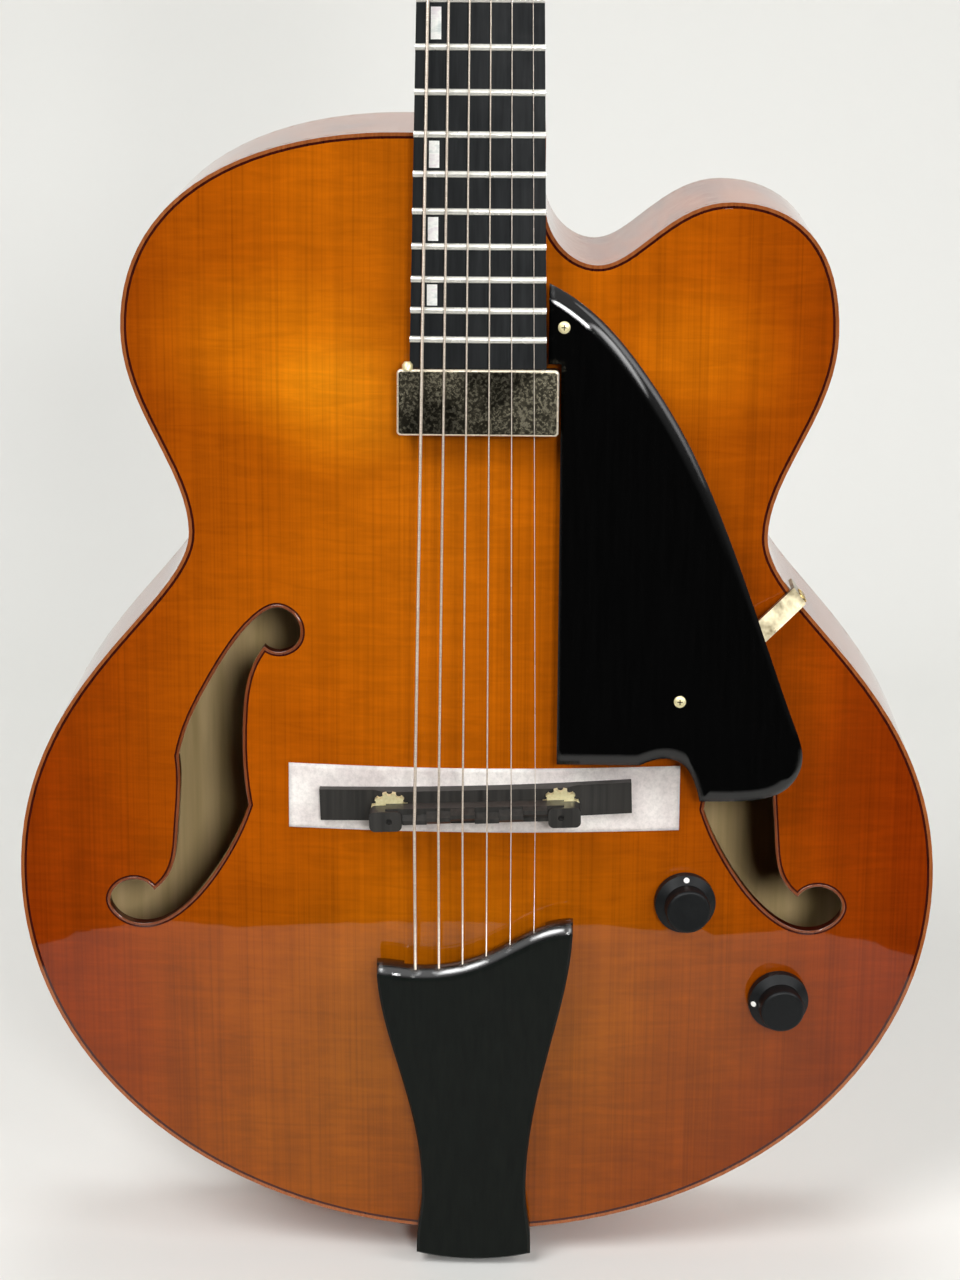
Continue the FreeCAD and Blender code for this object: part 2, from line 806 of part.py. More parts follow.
def rod_pocket():
    """The tunnel and pocket for the truss rod, in the neck's frame."""
    axis_y = sizes.board_thickness + sizes.truss_rod_drop
    start = Vector(0, axis_y, joint_z + sizes.truss_rod_foot)
    nut_end = sizes.scale_length + sizes.nut_thickness + sizes.truss_rod_reach
    nut = Vector(0, axis_y, nut_end - sizes.truss_nut_length)
    tunnel = rod(sizes.truss_rod_radius + sizes.loose_fit, start, nut)
    pocket = rod(sizes.truss_nut_radius + sizes.loose_fit, nut, nut + UP * sizes.truss_pocket_length)
    return tunnel.fuse(pocket)


def make_neck():
    base = sizes.board_thickness
    nut_end = sizes.scale_length + sizes.nut_thickness
    foot = joint_z - sizes.overrun
    foot_section = d_section(board_width(foot), sizes.neck_depth_at_heel, base, foot)
    nut_section = d_section(sizes.nut_width, sizes.neck_depth_at_nut, base, nut_end)
    shaft = Part.makeLoft([foot_section, nut_section], True, True)
    to_head = neck_place.inverse().multiply(head_place)
    blend_end = d_section(sizes.head_neck_width, sizes.head_thickness, sizes.veneer_thickness,
                          sizes.volute_length)
    volute = Part.makeLoft([nut_section, placed(blend_end, to_head)], True, True)
    veneer, slab = make_headstock()
    veneer_on_neck = placed(veneer, to_head)
    upper = shaft.fuse([volute, placed(slab, to_head)]).cut(veneer_on_neck)
    body_half = Vector(sizes.board_end_width, sizes.body_length, 0)
    upper = placed(upper, neck_place).cut(block(body_half * -1, body_half + UP * sizes.body_length))
    add_shape("headstock_veneer", placed(veneer, head_place).cut(placed(rod_pocket(), neck_place)))
    neck = upper.fuse([heel_shape(), tongue_shape(), tenon_shape(sizes.heel_root_inset)])
    screw_hole = rod(sizes.button_screw_radius, button_seat, button_seat + BACKWARD * sizes.overrun)
    neck = neck.cut([placed(board_block(), neck_place), placed(rod_pocket(), neck_place), screw_hole])
    add_shape("neck", neck.removeSplitter())
    cap = heel_section(sizes.heel_cap_width, sizes.heel_cap_length, back_edge - sizes.heel_cap_thickness)
    add_shape("heel_cap", Part.Face(cap).extrude(BACKWARD * sizes.heel_cap_thickness).cut(screw_hole))


def heel_shape():
    root = neck_place.multVec(Vector(0, sizes.board_thickness, joint_z)).y + sizes.heel_root_inset
    end = back_edge - sizes.heel_cap_thickness
    more_width = board_width(joint_z) - sizes.heel_root_inset - sizes.heel_cap_width
    more_length = sizes.heel_root_length - sizes.heel_cap_length
    sections = []
    for depth, length, width in zip(HEEL_DEPTH_SHARES, HEEL_LENGTH_SHARES, HEEL_WIDTH_SHARES):
        sections.append(heel_section(sizes.heel_cap_width + more_width * width,
                                     sizes.heel_cap_length + more_length * length,
                                     root + (end - root) * depth))
    return Part.makeLoft(sections, True, False)


def tongue_shape():
    """The wedge under the fretboard's end, clear of the top."""
    low_half = board_width(board_end) / 2 - sizes.tongue_margin
    high_half = board_width(joint_z) / 2 - sizes.tongue_margin
    start = board_end + sizes.tongue_margin
    corners = [plan(-low_half, start), plan(low_half, start), plan(high_half, joint_z + sizes.tongue_margin),
               plan(-high_half, joint_z + sizes.tongue_margin), plan(-low_half, start)]
    under = sizes.board_thickness
    wedge = prism(Part.makePolygon(corners), under, under + sizes.tongue_depth)
    cleared = arched_face(front_edge - sizes.tongue_clearance, -sizes.top_arch)
    return placed(wedge, neck_place).cut(cleared.extrude(BACKWARD * sizes.rim_depth))


def board_barrel(rise_amount):
    """A round bar whose surface is the fretboard's camber, raised by an amount."""
    foot = Vector(0, sizes.board_radius, board_end - sizes.overrun)
    top = Vector(0, sizes.board_radius, sizes.scale_length + sizes.overrun)
    return rod(sizes.board_radius + rise_amount, foot, top)


def inlay_boxes():
    boxes = []
    for number in INLAID_FRETS:
        low, high = fret_height(number), fret_height(number - 1)
        middle = (low + high) / 2
        across = -board_width(middle) / 2 * INLAY_REACH_SHARE
        half = Vector(sizes.inlay_width / 2, 0, (high - low) * INLAY_LENGTH_SHARE / 2)
        sink = across * across / (2 * sizes.board_radius) + sizes.inlay_depth
        boxes.append(block(plan(across, middle) - half, plan(across, middle) + half + BACKWARD * sink))
    return boxes


def cambered_strip(corners, z, width):
    """A profile of rise and place along the neck, swung across the camber."""
    points = [Vector(0, -height, z + along) for height, along in corners]
    return swing(Part.Face(Part.makePolygon(points + points[:1])), width)


def swing(face, width):
    centre = Vector(0, sizes.board_radius, 0)
    angle = math.degrees(2 * math.asin(width / 2 / sizes.board_radius))
    face.rotate(centre, UP, -angle / 2)
    return face.revolve(centre, UP, angle)


def fret_shape(z, width):
    """A fret: a rounded crown on a tang."""
    half = sizes.fret_crown_width / 2
    slim = sizes.fret_tang_width / 2
    left, right = Vector(0, 0, z - half), Vector(0, 0, z + half)
    crown = Part.Arc(left, Vector(0, -sizes.fret_crown_height, z), right).toShape()
    stem = [right, Vector(0, 0, z + slim), Vector(0, sizes.fret_tang_depth, z + slim),
            Vector(0, sizes.fret_tang_depth, z - slim), Vector(0, 0, z - slim), left]
    wire = Part.Wire([crown] + [line(start, end) for start, end in zip(stem, stem[1:])])
    return swing(Part.Face(wire), width)


def board_block():
    """The fretboard before its camber is cut, in the neck's frame."""
    low_half, high_half = sizes.board_end_width / 2, sizes.nut_width / 2
    corners = [plan(-low_half, board_end), plan(low_half, board_end), plan(high_half, sizes.scale_length),
               plan(-high_half, sizes.scale_length), plan(-low_half, board_end)]
    return prism(Part.makePolygon(corners), 0, sizes.board_thickness)


def make_fretboard():
    board = board_block().common(board_barrel(0))
    frets, slots = [], []
    slim = sizes.fret_tang_width / 2
    for number in range(1, FRETS + 1):
        z = fret_height(number)
        frets.append(fret_shape(z, board_width(z)))
        slot = ((0, -slim), (0, slim), (-sizes.fret_tang_depth, slim), (-sizes.fret_tang_depth, -slim))
        slots.append(cambered_strip(slot, z, board_width(z) + sizes.overrun))
    boxes = inlay_boxes()
    add_shape("fretboard", board.cut(slots + boxes), neck_place)
    add_shape("frets", Part.makeCompound(frets), neck_place)
    inlays = [box.common(board_barrel(0)) for box in boxes]
    add_shape("fret_inlays", Part.makeCompound(inlays), neck_place)


# Strings

def gauge(number):
    return getattr(sizes, "string_gauge_" + STRING_GAUGES[number - 1])


def string_share(number):
    """A string's place across the neck, from -1 on the bass side to 1 on the treble side."""
    middle = (len(STRING_GAUGES) + 1) / 2
    return (middle - number) / (middle - 1)


def camber(x, radius):
    return x * x / (2 * radius)


def saddle_point(number):
    """Where a string's axis bends over the saddle, in the bridge's frame."""
    across = string_share(number) * sizes.string_spread_at_saddle / 2
    crest = sizes.bridge_height - camber(across, sizes.saddle_radius)
    along = COMPENSATION_SHARES[number - 1] * sizes.saddle_bar_width
    return Vector(across, -crest - gauge(number) / 2, along)


def nut_point(number):
    """Where a string's axis bends over the nut, in the neck's frame."""
    across = string_share(number) * sizes.string_spread_at_nut / 2
    height = string_height_at_nut + gauge(number) / 2 - camber(across, sizes.board_radius)
    return Vector(across, -height, sizes.scale_length + sizes.nut_thickness / 2)


def anchor_point(number):
    """Where a string's ball end is held, in the tailpiece's frame."""
    share = string_share(number)
    edge = (sizes.tail_bass_length * (1 - share) + sizes.tail_length * (1 + share)) / 2
    across = share * sizes.string_spread_at_saddle / 2
    along = edge - sizes.string_anchor_depth
    return Vector(across, -sizes.tail_thickness / 2, along)


def winding_points(number):
    """Points along a string's winding, in its post's frame."""
    side, across, along = tuner_spot(number)
    to_post = post_place(number).inverse()
    nut = to_post.multVec(neck_place.multVec(nut_point(number)))
    radius = sizes.post_waist_radius + gauge(number) / 2 + sizes.running_fit
    distance = math.hypot(nut.x, nut.y)
    start = math.atan2(nut.y, nut.x) + side * math.acos(radius / distance) * -1
    pitch = gauge(number) + sizes.winding_gap
    points = []
    for step in range(WINDING_TURNS * TURN_STEPS + 1):
        turn = step / TURN_STEPS
        angle = start - side * 2 * math.pi * turn
        height = sizes.winding_top - pitch * turn
        points.append(Vector(radius * math.cos(angle), radius * math.sin(angle), height))
    return points


def bend(before, corner, after, radius):
    """A tangent arc at a corner of a path, as its start, its middle and its end."""
    back = (before - corner).normalize()
    ahead = (after - corner).normalize()
    half = back.getAngle(ahead) / 2
    trim = radius / math.tan(half)
    towards = (back + ahead).normalize()
    middle = corner + towards * (radius / math.sin(half) - radius)
    return corner + back * trim, middle, corner + ahead * trim


def string_route(number):
    """A string's corners from its anchor to its post, and its winding."""
    anchor = tail_place.multVec(anchor_point(number))
    saddle = bridge_place.multVec(saddle_point(number))
    nut = neck_place.multVec(nut_point(number))
    winding = [post_place(number).multVec(point) for point in winding_points(number)]
    return anchor, saddle, nut, winding


def string_path(number):
    anchor, saddle, nut, winding = string_route(number)
    saddle_start, saddle_middle, saddle_end = bend(anchor, saddle, nut, sizes.string_bend)
    nut_start, nut_middle, nut_end = bend(saddle, nut, winding[0], sizes.string_bend)
    edges = [line(anchor, saddle_start), Part.Arc(saddle_start, saddle_middle, saddle_end).toShape(),
             line(saddle_end, nut_start), Part.Arc(nut_start, nut_middle, nut_end).toShape(),
             line(nut_end, winding[0])]
    for index in range(0, len(winding) - 2, 2):
        edges.append(Part.Arc(*winding[index:index + 3]).toShape())
    return Part.Wire(edges)


def string_shape(number):
    anchor, saddle, nut, winding = string_route(number)
    way = (saddle - anchor).normalize()
    radius = gauge(number) / 2
    place = Placement(anchor, Rotation(UP, way))
    corners = [place.multVec(Vector(radius * math.cos(angle), radius * math.sin(angle), 0))
               for angle in (2 * math.pi * side / STRING_SIDES for side in range(STRING_SIDES))]
    section = Part.makePolygon(corners + corners[:1])
    tube = string_path(number).makePipeShell([section], True, False)
    ball = Part.makeSphere(sizes.ball_radius, anchor)
    return tube.fuse(ball)


def make_strings():
    least = None
    for number in STRINGS:
        shape = string_shape(number)
        add_shape(f"string_{number}", shape)
        points = winding_points(number)
        for first, second in zip(points, points[TURN_STEPS:]):
            gap = (second - first).Length - gauge(number)
            least = gap if least is None else min(least, gap)
    print("least gap between turns of a winding, mm:", round(least, 3))


def string_grooves(corner, number):
    """Two round cuts that a string lies in, on both sides of its bend."""
    anchor, saddle, nut, winding = string_route(number)
    radius = gauge(number) / 2 + sizes.string_seat
    bends = {"saddle": (anchor, saddle, nut), "nut": (saddle, nut, winding[0])}
    before, middle, after = bends[corner]
    cuts = []
    for other in (before, after):
        way = (other - middle).normalize()
        cuts.append(rod(radius, middle - way * sizes.string_seat, middle + way * sizes.overrun))
    return cuts


def make_nut():
    half = sizes.nut_width / 2
    low = Vector(-half, -sizes.nut_rise, sizes.scale_length)
    high = Vector(half, sizes.board_thickness, sizes.scale_length + sizes.nut_thickness)
    shape = block(low, high).common(board_barrel(string_height_at_nut + gauge(len(STRING_GAUGES)) / 2))
    grooves = [cut for number in STRINGS for cut in string_grooves("nut", number)]
    add_shape("nut", placed(shape, neck_place).cut(grooves))


def make_truss_rod():
    axis_y = sizes.board_thickness + sizes.truss_rod_drop
    start = Vector(0, axis_y, joint_z + sizes.truss_rod_foot)
    end = Vector(0, axis_y, sizes.scale_length + sizes.nut_thickness + sizes.truss_rod_reach)
    nut = rod(sizes.truss_nut_radius, end - UP * sizes.truss_nut_length, end)
    add_shape("truss_rod", rod(sizes.truss_rod_radius, start, end).fuse(nut), neck_place)
    half = sizes.rod_cover_width / 2
    neck_half = half * ROD_COVER_NECK_SHARE
    foot = sizes.rod_cover_foot
    top = foot + sizes.rod_cover_length
    side = eased(plan(half, foot), "z", plan(neck_half, top - neck_half), "z", HEAD_FLARE_SHARES)
    crown = eased(plan(neck_half, top - neck_half), "z", plan(0, top), "x", HEAD_CROWN_SHARES)
    edges = [side, crown, mirrored(side), mirrored(crown), line(plan(-half, foot), plan(half, foot))]
    cover = prism(Part.Wire(Part.__sortEdges__(edges)), -sizes.rod_cover_thickness, 0)
    add_shape("truss_rod_cover", cover, head_place)


# Tuning machines

def housing_place(number):
    """A housing's frame: on the headstock's back over its post, with X out to the key."""
    side, across, along = tuner_spot(number)
    back = sizes.veneer_thickness + sizes.head_thickness
    turn = Rotation() if side > 0 else Rotation(BACKWARD, 180)
    return head_place.multiply(Placement(Vector(across, back, along), turn))


def key_axis(side):
    """A key's axis in its housing's frame: a point of the housing's outer side."""
    return Vector(sizes.housing_width / 2, sizes.housing_depth / 2, side * sizes.worm_offset)


def housing_shape(side):
    middle = side * sizes.worm_offset / 2
    low = Vector(-sizes.housing_width / 2, 0, middle - sizes.housing_length / 2)
    high = Vector(sizes.housing_width / 2, sizes.housing_depth, middle + sizes.housing_length / 2)
    shape = block(low, high)
    rounded = [edge for edge in shape.Edges if edge.BoundBox.YMax > sizes.housing_depth / 2]
    shape = shape.makeFillet(sizes.housing_fillet, rounded)
    post_end = BACKWARD * (sizes.post_tail + sizes.running_fit)
    post = rod(sizes.post_radius + sizes.running_fit, BACKWARD * -sizes.overrun, post_end)
    axis = key_axis(side)
    key_end = axis - RIGHT * (sizes.key_shaft_depth + sizes.running_fit)
    key = rod(sizes.key_shaft_radius + sizes.running_fit, key_end, axis + RIGHT * sizes.overrun)
    return shape.cut([post, key])


def key_shape():
    """A key along X: a shaft, a collar and an oval button."""
    middle = RIGHT * (sizes.key_stem_length + sizes.key_button_width / 2)
    shaft = rod(sizes.key_shaft_radius, RIGHT * -sizes.key_shaft_depth, middle)
    collar_end = RIGHT * (sizes.seat_gap + sizes.key_collar_length)
    collar = rod(sizes.key_collar_radius, RIGHT * sizes.seat_gap, collar_end)
    oval = Part.Ellipse(Vector(), sizes.key_button_length / 2, sizes.key_button_width / 2)
    button = Part.Face(Part.Wire(oval.toShape())).extrude(UP * sizes.key_button_thickness)
    button = button.makeFillet(sizes.key_button_fillet, [edge for edge in button.Edges if edge.isClosed()])
    button.translate(UP * (-sizes.key_button_thickness / 2))
    button.rotate(Vector(), RIGHT, 90)
    button.rotate(Vector(), BACKWARD, 90)
    button.translate(middle)
    return shaft.fuse([collar, button])


def make_tuners():
    housings = [placed(housing_shape(tuner_spot(number)[0]), housing_place(number)) for number in STRINGS]
    add_shape("tuner_housings", Part.makeCompound(housings))
    head = "veneer_thickness + head_thickness"
    bore = "post_radius + running_fit"
    bushing = revolved("bushing", [(bore, "0"), ("bushing_radius", "0"), ("bushing_radius", head),
                                   ("bushing_flange_radius", head),
                                   ("bushing_flange_radius", head + " + bushing_flange_height"),
                                   (bore, head + " + bushing_flange_height")], keep=False)
    doc.recompute()
    sunk = Placement(UP * -(sizes.veneer_thickness + sizes.head_thickness), Rotation())
    bushing_places = [post_place(number).multiply(sunk) for number in STRINGS]
    add_shape("tuner_bushings", copies(bushing.Shape, bushing_places))
    tail = head + " + post_tail"
    deep = Placement(UP * -(sizes.veneer_thickness + sizes.head_thickness + sizes.post_tail), Rotation())
    key = key_shape()
    for number in STRINGS:
        revolved(f"tuner_post_{number}",
                 [("0", "0"), ("post_radius", "0"), ("post_radius", tail + " + post_waist_foot"),
                  ("post_waist_radius", tail + " + post_waist_foot"),
                  ("post_waist_radius", tail + " + post_waist_top"),
                  ("post_radius", tail + " + post_waist_top"), ("post_radius", tail + " + post_height"),
                  ("0", tail + " + post_height")], post_place(number).multiply(deep))
        axis = key_axis(tuner_spot(number)[0])
        key_place = housing_place(number).multiply(Placement(axis, Rotation()))
        add_shape(f"tuner_key_{number}", key, key_place)


# Bridge

def make_sheet():
    face = arched_face(front_edge - sizes.sheet_clearance, -sizes.top_arch)
    layer = face.extrude(BACKWARD * -sizes.sheet_thickness)
    half = Vector(sizes.sheet_length / 2, sizes.rim_depth, sizes.sheet_width / 2)
    middle = plan(sizes.sheet_shift, sizes.scale_end_height)
    area = block(middle - half, middle + half)
    add_shape("protector_sheet", layer.common(area))


def make_bridge_base():
    half = sizes.base_length / 2
    end_drop = top_depth(half, sizes.scale_end_height) - crown_y
    wing_start = half - sizes.base_wing_length
    wing_drop = top_depth(wing_start, sizes.scale_end_height) - crown_y
    ramp_start = wing_start - sizes.base_ramp_length
    wing_top, wing_root = end_drop - sizes.base_wing, wing_drop - sizes.base_wing
    deep = sizes.rim_depth / 2

    def corner(x, y):
        return Vector(x, y, 0)

    ramp_middle = (wing_start + ramp_start) / 2
    ramp = Part.BezierCurve()
    ramp.setPoles([corner(wing_start, wing_root), corner(ramp_middle, wing_root),
                   corner(ramp_middle, -sizes.base_height), corner(ramp_start, -sizes.base_height)])
    right = [line(corner(half, deep), corner(half, wing_top)),
             line(corner(half, wing_top), corner(wing_start, wing_root)),
             ramp.toShape()]
    across = [line(corner(ramp_start, -sizes.base_height), corner(-ramp_start, -sizes.base_height)),
              line(corner(-half, deep), corner(half, deep))]
    profile = Part.Wire(Part.__sortEdges__(right + [mirrored(edge) for edge in right] + across))
    shape = Part.Face(profile).extrude(UP * sizes.base_width)
    shape.translate(UP * (-sizes.base_width / 2))
    shape = placed(shape, bridge_place)
    cover = sizes.sheet_clearance + sizes.sheet_thickness + sizes.sheet_clearance
    top = arched_face(front_edge - cover, -sizes.top_arch).extrude(BACKWARD * sizes.rim_depth)
    shape = shape.cut(top)
    add_shape("bridge_base", shape.cut([socket_cut(side) for side in (-1, 1)]))


def socket_cut(side):
    """The hole in the bridge base that a post stands in."""
    mouth = Vector(side * sizes.bridge_post_spread / 2, -sizes.base_height, 0)
    depth = BACKWARD * sizes.bridge_post_depth
    return placed(rod(sizes.bridge_post_radius, mouth + depth, mouth - depth), bridge_place)


def make_bridge_hardware():
    posts = []
    for side in (-1, 1):
        foot = Vector(side * sizes.bridge_post_spread / 2, sizes.bridge_post_depth - sizes.base_height, 0)
        post = rod(sizes.bridge_post_radius, foot, foot - BACKWARD * sizes.bridge_post_length)
        posts.append(placed(post, bridge_place))
    add_shape("bridge_posts", Part.makeCompound(posts))
    bore = "bridge_post_radius + running_fit"
    for label, side in (("thumbwheel_bass", -1), ("thumbwheel_treble", 1)):
        seat = Vector(side * sizes.bridge_post_spread / 2, -sizes.wheel_height, 0)
        wheel = revolved(label, [(bore, "0"), ("wheel_radius", "0"), ("wheel_radius", "wheel_thickness"),
                                 (bore, "wheel_thickness")],
                         bridge_place.multiply(Placement(seat, Rotation(RIGHT, 90))))
        scallop_wheel(wheel, label)


def scallop_wheel(body, label):
    """Round notches about a thumbwheel's rim."""
    plane = [item for item in body.Origin.OriginFeatures if item.Role == "XY_Plane"][0]
    sketch = body.newObject("Sketcher::SketchObject", label + "_scallop")
    sketch.AttachmentSupport = [(plane, "")]
    sketch.MapMode = "FlatFace"
    sketch.addGeometry(Part.Circle(Vector(sizes.wheel_radius, 0, 0), UP, sizes.wheel_scallop_radius))
    sketch.addConstraint(Sketcher.Constraint("PointOnObject", 0, 3, -1))
    reach = sketch.addConstraint(Sketcher.Constraint("DistanceX", -1, 1, 0, 3, sizes.wheel_radius))
    sketch.setExpression(f"Constraints[{reach}]", "Sizes.wheel_radius")
    radius = sketch.addConstraint(Sketcher.Constraint("Radius", 0, sizes.wheel_scallop_radius))
    sketch.setExpression(f"Constraints[{radius}]", "Sizes.wheel_scallop_radius")
    pocket = body.newObject("PartDesign::Pocket", label + "_notch")
    pocket.Profile = sketch
    pocket.Type = "ThroughAll"
    pocket.Midplane = True
    sketch.Visibility = False
    doc.recompute()
    pattern = body.newObject("PartDesign::PolarPattern", label + "_notches")
    pattern.Originals = [pocket]
    pattern.Axis = (sketch, ["N_Axis"])
    pattern.Angle = 360
    pattern.Occurrences = WHEEL_SCALLOPS
    body.Tip = pattern


def make_saddle():
    floor = sizes.wheel_height + sizes.wheel_thickness
    half_bar = Vector(sizes.saddle_length / 2 - sizes.saddle_lug_length / 2, 0, sizes.saddle_bar_width / 2)
    bar = block(half_bar * -1 - BACKWARD * (floor + sizes.saddle_bar_height), half_bar - BACKWARD * floor)
    solids = []
    bores = []
    for side in (-1, 1):
        middle = Vector(side * (sizes.saddle_length - sizes.saddle_lug_length) / 2, 0, -sizes.saddle_lug_drop)
        half = Vector(sizes.saddle_lug_length / 2, 0, sizes.saddle_lug_width / 2)
        lug_top = BACKWARD * (floor + sizes.saddle_lug_height)
        lug = block(middle - half - lug_top, middle + half - BACKWARD * floor)
        upright = [edge for edge in lug.Edges if edge.BoundBox.YLength > sizes.saddle_lug_height / 2]
        solids.append(lug.makeFillet(sizes.saddle_lug_fillet, upright))
        axis = Vector(side * sizes.bridge_post_spread / 2, 0, 0)
        bore_end = axis - BACKWARD * (floor + sizes.saddle_bore_depth)
        bores.append(rod(sizes.bridge_post_radius + sizes.seat_gap, axis, bore_end))
        hole = axis - UP * sizes.saddle_lug_drop - BACKWARD * (floor + sizes.saddle_bore_depth + sizes.seat_gap)
        bores.append(rod(sizes.saddle_hole_radius, hole, hole - BACKWARD * sizes.saddle_lug_height))
    solids += [crest_shape(number) for number in STRINGS]
    saddle = placed(bar.fuse(solids).cut(bores), bridge_place)
    grooves = [cut for number in STRINGS for cut in string_grooves("saddle", number)]
    add_shape("bridge_saddle", saddle.cut(grooves))


def crest_shape(number):
    """One string's step of the crest, set along the string for its pitch."""
    step = sizes.string_spread_at_saddle / (len(STRING_GAUGES) - 1)
    point = saddle_point(number)
    foot = -(sizes.wheel_height + sizes.wheel_thickness + sizes.saddle_bar_height)
    top = point.y + gauge(number) / 2
    wide = sizes.saddle_crest_foot / 2
    slim = sizes.saddle_crest_top / 2
    limit = sizes.saddle_bar_width / 2
    corners = [(foot, max(point.z - wide, -limit)), (top, point.z - slim), (top, point.z + slim),
               (foot, min(point.z + wide, limit))]
    points = [Vector(point.x - step / 2, y, z) for y, z in corners]
    return Part.Face(Part.makePolygon(points + points[:1])).extrude(RIGHT * step)


# Tailpiece and end pin

def tail_outline():
    half_foot = sizes.tail_foot_width / 2
    half_waist = sizes.tail_waist_width / 2
    half_top = sizes.tail_width / 2
    foot = -sizes.tail_foot_drop

    def flank(side, height):
        waist = plan(side * half_waist, sizes.tail_waist_height)
        return [eased(plan(side * half_foot, foot), "z", waist, "z", TAIL_FOOT_SHARES),
                eased(waist, "z", plan(side * half_top, height), "z", TAIL_FLARE_SHARES)]

    bass_corner = plan(-half_top, sizes.tail_bass_length)
    low = plan(sizes.tail_dip_reach - half_top, sizes.tail_bass_length - sizes.tail_dip)
    sole = Part.Arc(plan(-half_foot, foot), plan(0, foot - sizes.tail_foot_bulge), plan(half_foot, foot))
    edges = flank(-1, sizes.tail_bass_length) + flank(1, sizes.tail_length)
    edges += [sole.toShape(), eased(bass_corner, "x", low, "x", TAIL_DIP_SHARES),
              eased(low, "x", plan(half_top, sizes.tail_length), "x", TAIL_WAVE_SHARES)]
    return Part.Wire(Part.__sortEdges__(edges))


def tail_ears():
    """The square ends that the rounded edge leaves at the back of the two ears."""
    half_top = sizes.tail_width / 2
    middle = -sizes.tail_thickness / 2
    ears = []
    for side, height in ((-1, sizes.tail_bass_length), (1, sizes.tail_length)):
        ends = sorted((side * half_top, side * (half_top - sizes.tail_ear_width)))
        box = block(Vector(ends[0], middle, height - sizes.tail_ear_height), Vector(ends[1], 0, height))
        ears.append(box.common(prism(tail_outline(), middle, 0)))
    return ears


def make_tailpiece():
    plate = prism(tail_outline(), -sizes.tail_thickness, 0)
    middle = -sizes.tail_thickness / 2

    def crown(side):
        """The edges of the wave at the front, 1, or at the back, -1."""
        return [edge for edge in plate.Edges
                if edge.BoundBox.ZMin > sizes.tail_waist_height
                and (middle - edge.BoundBox.Center.y) * side > 0
                and edge.BoundBox.XLength > sizes.tail_thickness]

    plate = plate.makeFillet(sizes.tail_edge_fillet, crown(1))
    plate = plate.makeFillet(sizes.tail_back_fillet, crown(-1))
    below_crown = sizes.tail_waist_height + sizes.tail_thickness
    sides = [edge for edge in plate.Edges
             if edge.BoundBox.YMax < middle and edge.BoundBox.ZMin < below_crown]
    plate = plate.makeChamfer(sizes.tail_side_bevel, sides)
    plate = placed(plate.fuse(tail_ears()), tail_place)
    half_lap = sizes.tail_waist_width / 2
    lap_front = front_edge - sizes.tail_clearance - sizes.tail_thickness / 2
    lap_top = -sizes.tail_bracket_thickness - sizes.seat_gap
    lap = block(Vector(-half_lap, lap_front, -sizes.tail_foot_drop),
                Vector(half_lap, front_edge + sizes.tail_lap, lap_top))
    holes = []
    for number in STRINGS:
        anchor, saddle, nut, winding = string_route(number)
        way = (saddle - anchor).normalize()
        holes.append(rod(gauge(number) / 2 + sizes.ball_fit, anchor, anchor + way * sizes.overrun * 2))
        seat = sizes.ball_radius + sizes.ball_fit
        mouth = anchor_point(number) - BACKWARD * seat
        holes.append(placed(rod(seat, mouth, mouth + BACKWARD * sizes.tail_thickness), tail_place))
    add_shape("tailpiece", plate.fuse(lap).cut(holes))


def make_tail_hardware():
    half = sizes.tail_bracket_width / 2
    plate = block(Vector(-half, front_edge, -sizes.tail_bracket_thickness - sizes.string_seat),
                  Vector(half, sizes.tail_bracket_reach, -sizes.string_seat))
    add_shape("tailpiece_bracket", plate.cut(jack_hole()))
    total = "jack_bore_depth + jack_end_wall"
    flange = "pin_flange_height"
    waist = flange + " + pin_waist_length"
    collar = waist + " + pin_flange_height"
    drop = 2 * sizes.pin_flange_height + sizes.pin_waist_length
    drop += sizes.tail_bracket_thickness + 2 * sizes.string_seat
    revolved("end_pin_jack",
             [("jack_bore_radius", "0"), ("pin_flange_radius", "0"), ("pin_flange_radius", flange),
              ("pin_waist_radius", flange), ("pin_waist_radius", waist), ("pin_flange_radius", waist),
              ("pin_flange_radius", collar), ("jack_barrel_radius", collar), ("jack_barrel_radius", total),
              ("0", total), ("0", "jack_bore_depth"), ("jack_bore_radius", "jack_bore_depth")],
             Placement(UP * -drop, Rotation()))
    screw = "button_screw_length"
    foot = screw + " + button_foot_height"
    neck = foot + " + button_waist_length"
    top = neck + " + button_flange_height"
    revolved("strap_button",
             [("0", "0"), ("button_screw_radius", "0"), ("button_screw_radius", screw),
              ("button_flange_radius", screw), ("button_waist_radius", foot),
              ("button_waist_radius", neck), ("button_flange_radius", neck),
              ("button_flange_radius", top), ("0", top)],
             Placement(button_seat, Rotation(RIGHT, -90)))


# Pickup, pickguard and controls

def rounded_plate(length, width, corner, low, high, z):
    """A plate with round corners, seen from the front."""
    half_length, half_width = length / 2, width / 2
    shape = block(Vector(-half_length, low, z - half_width), Vector(half_length, high, z + half_width))
    upright = [edge for edge in shape.Edges if edge.BoundBox.YLength > (high - low) / 2]
    return shape.makeFillet(corner, upright)


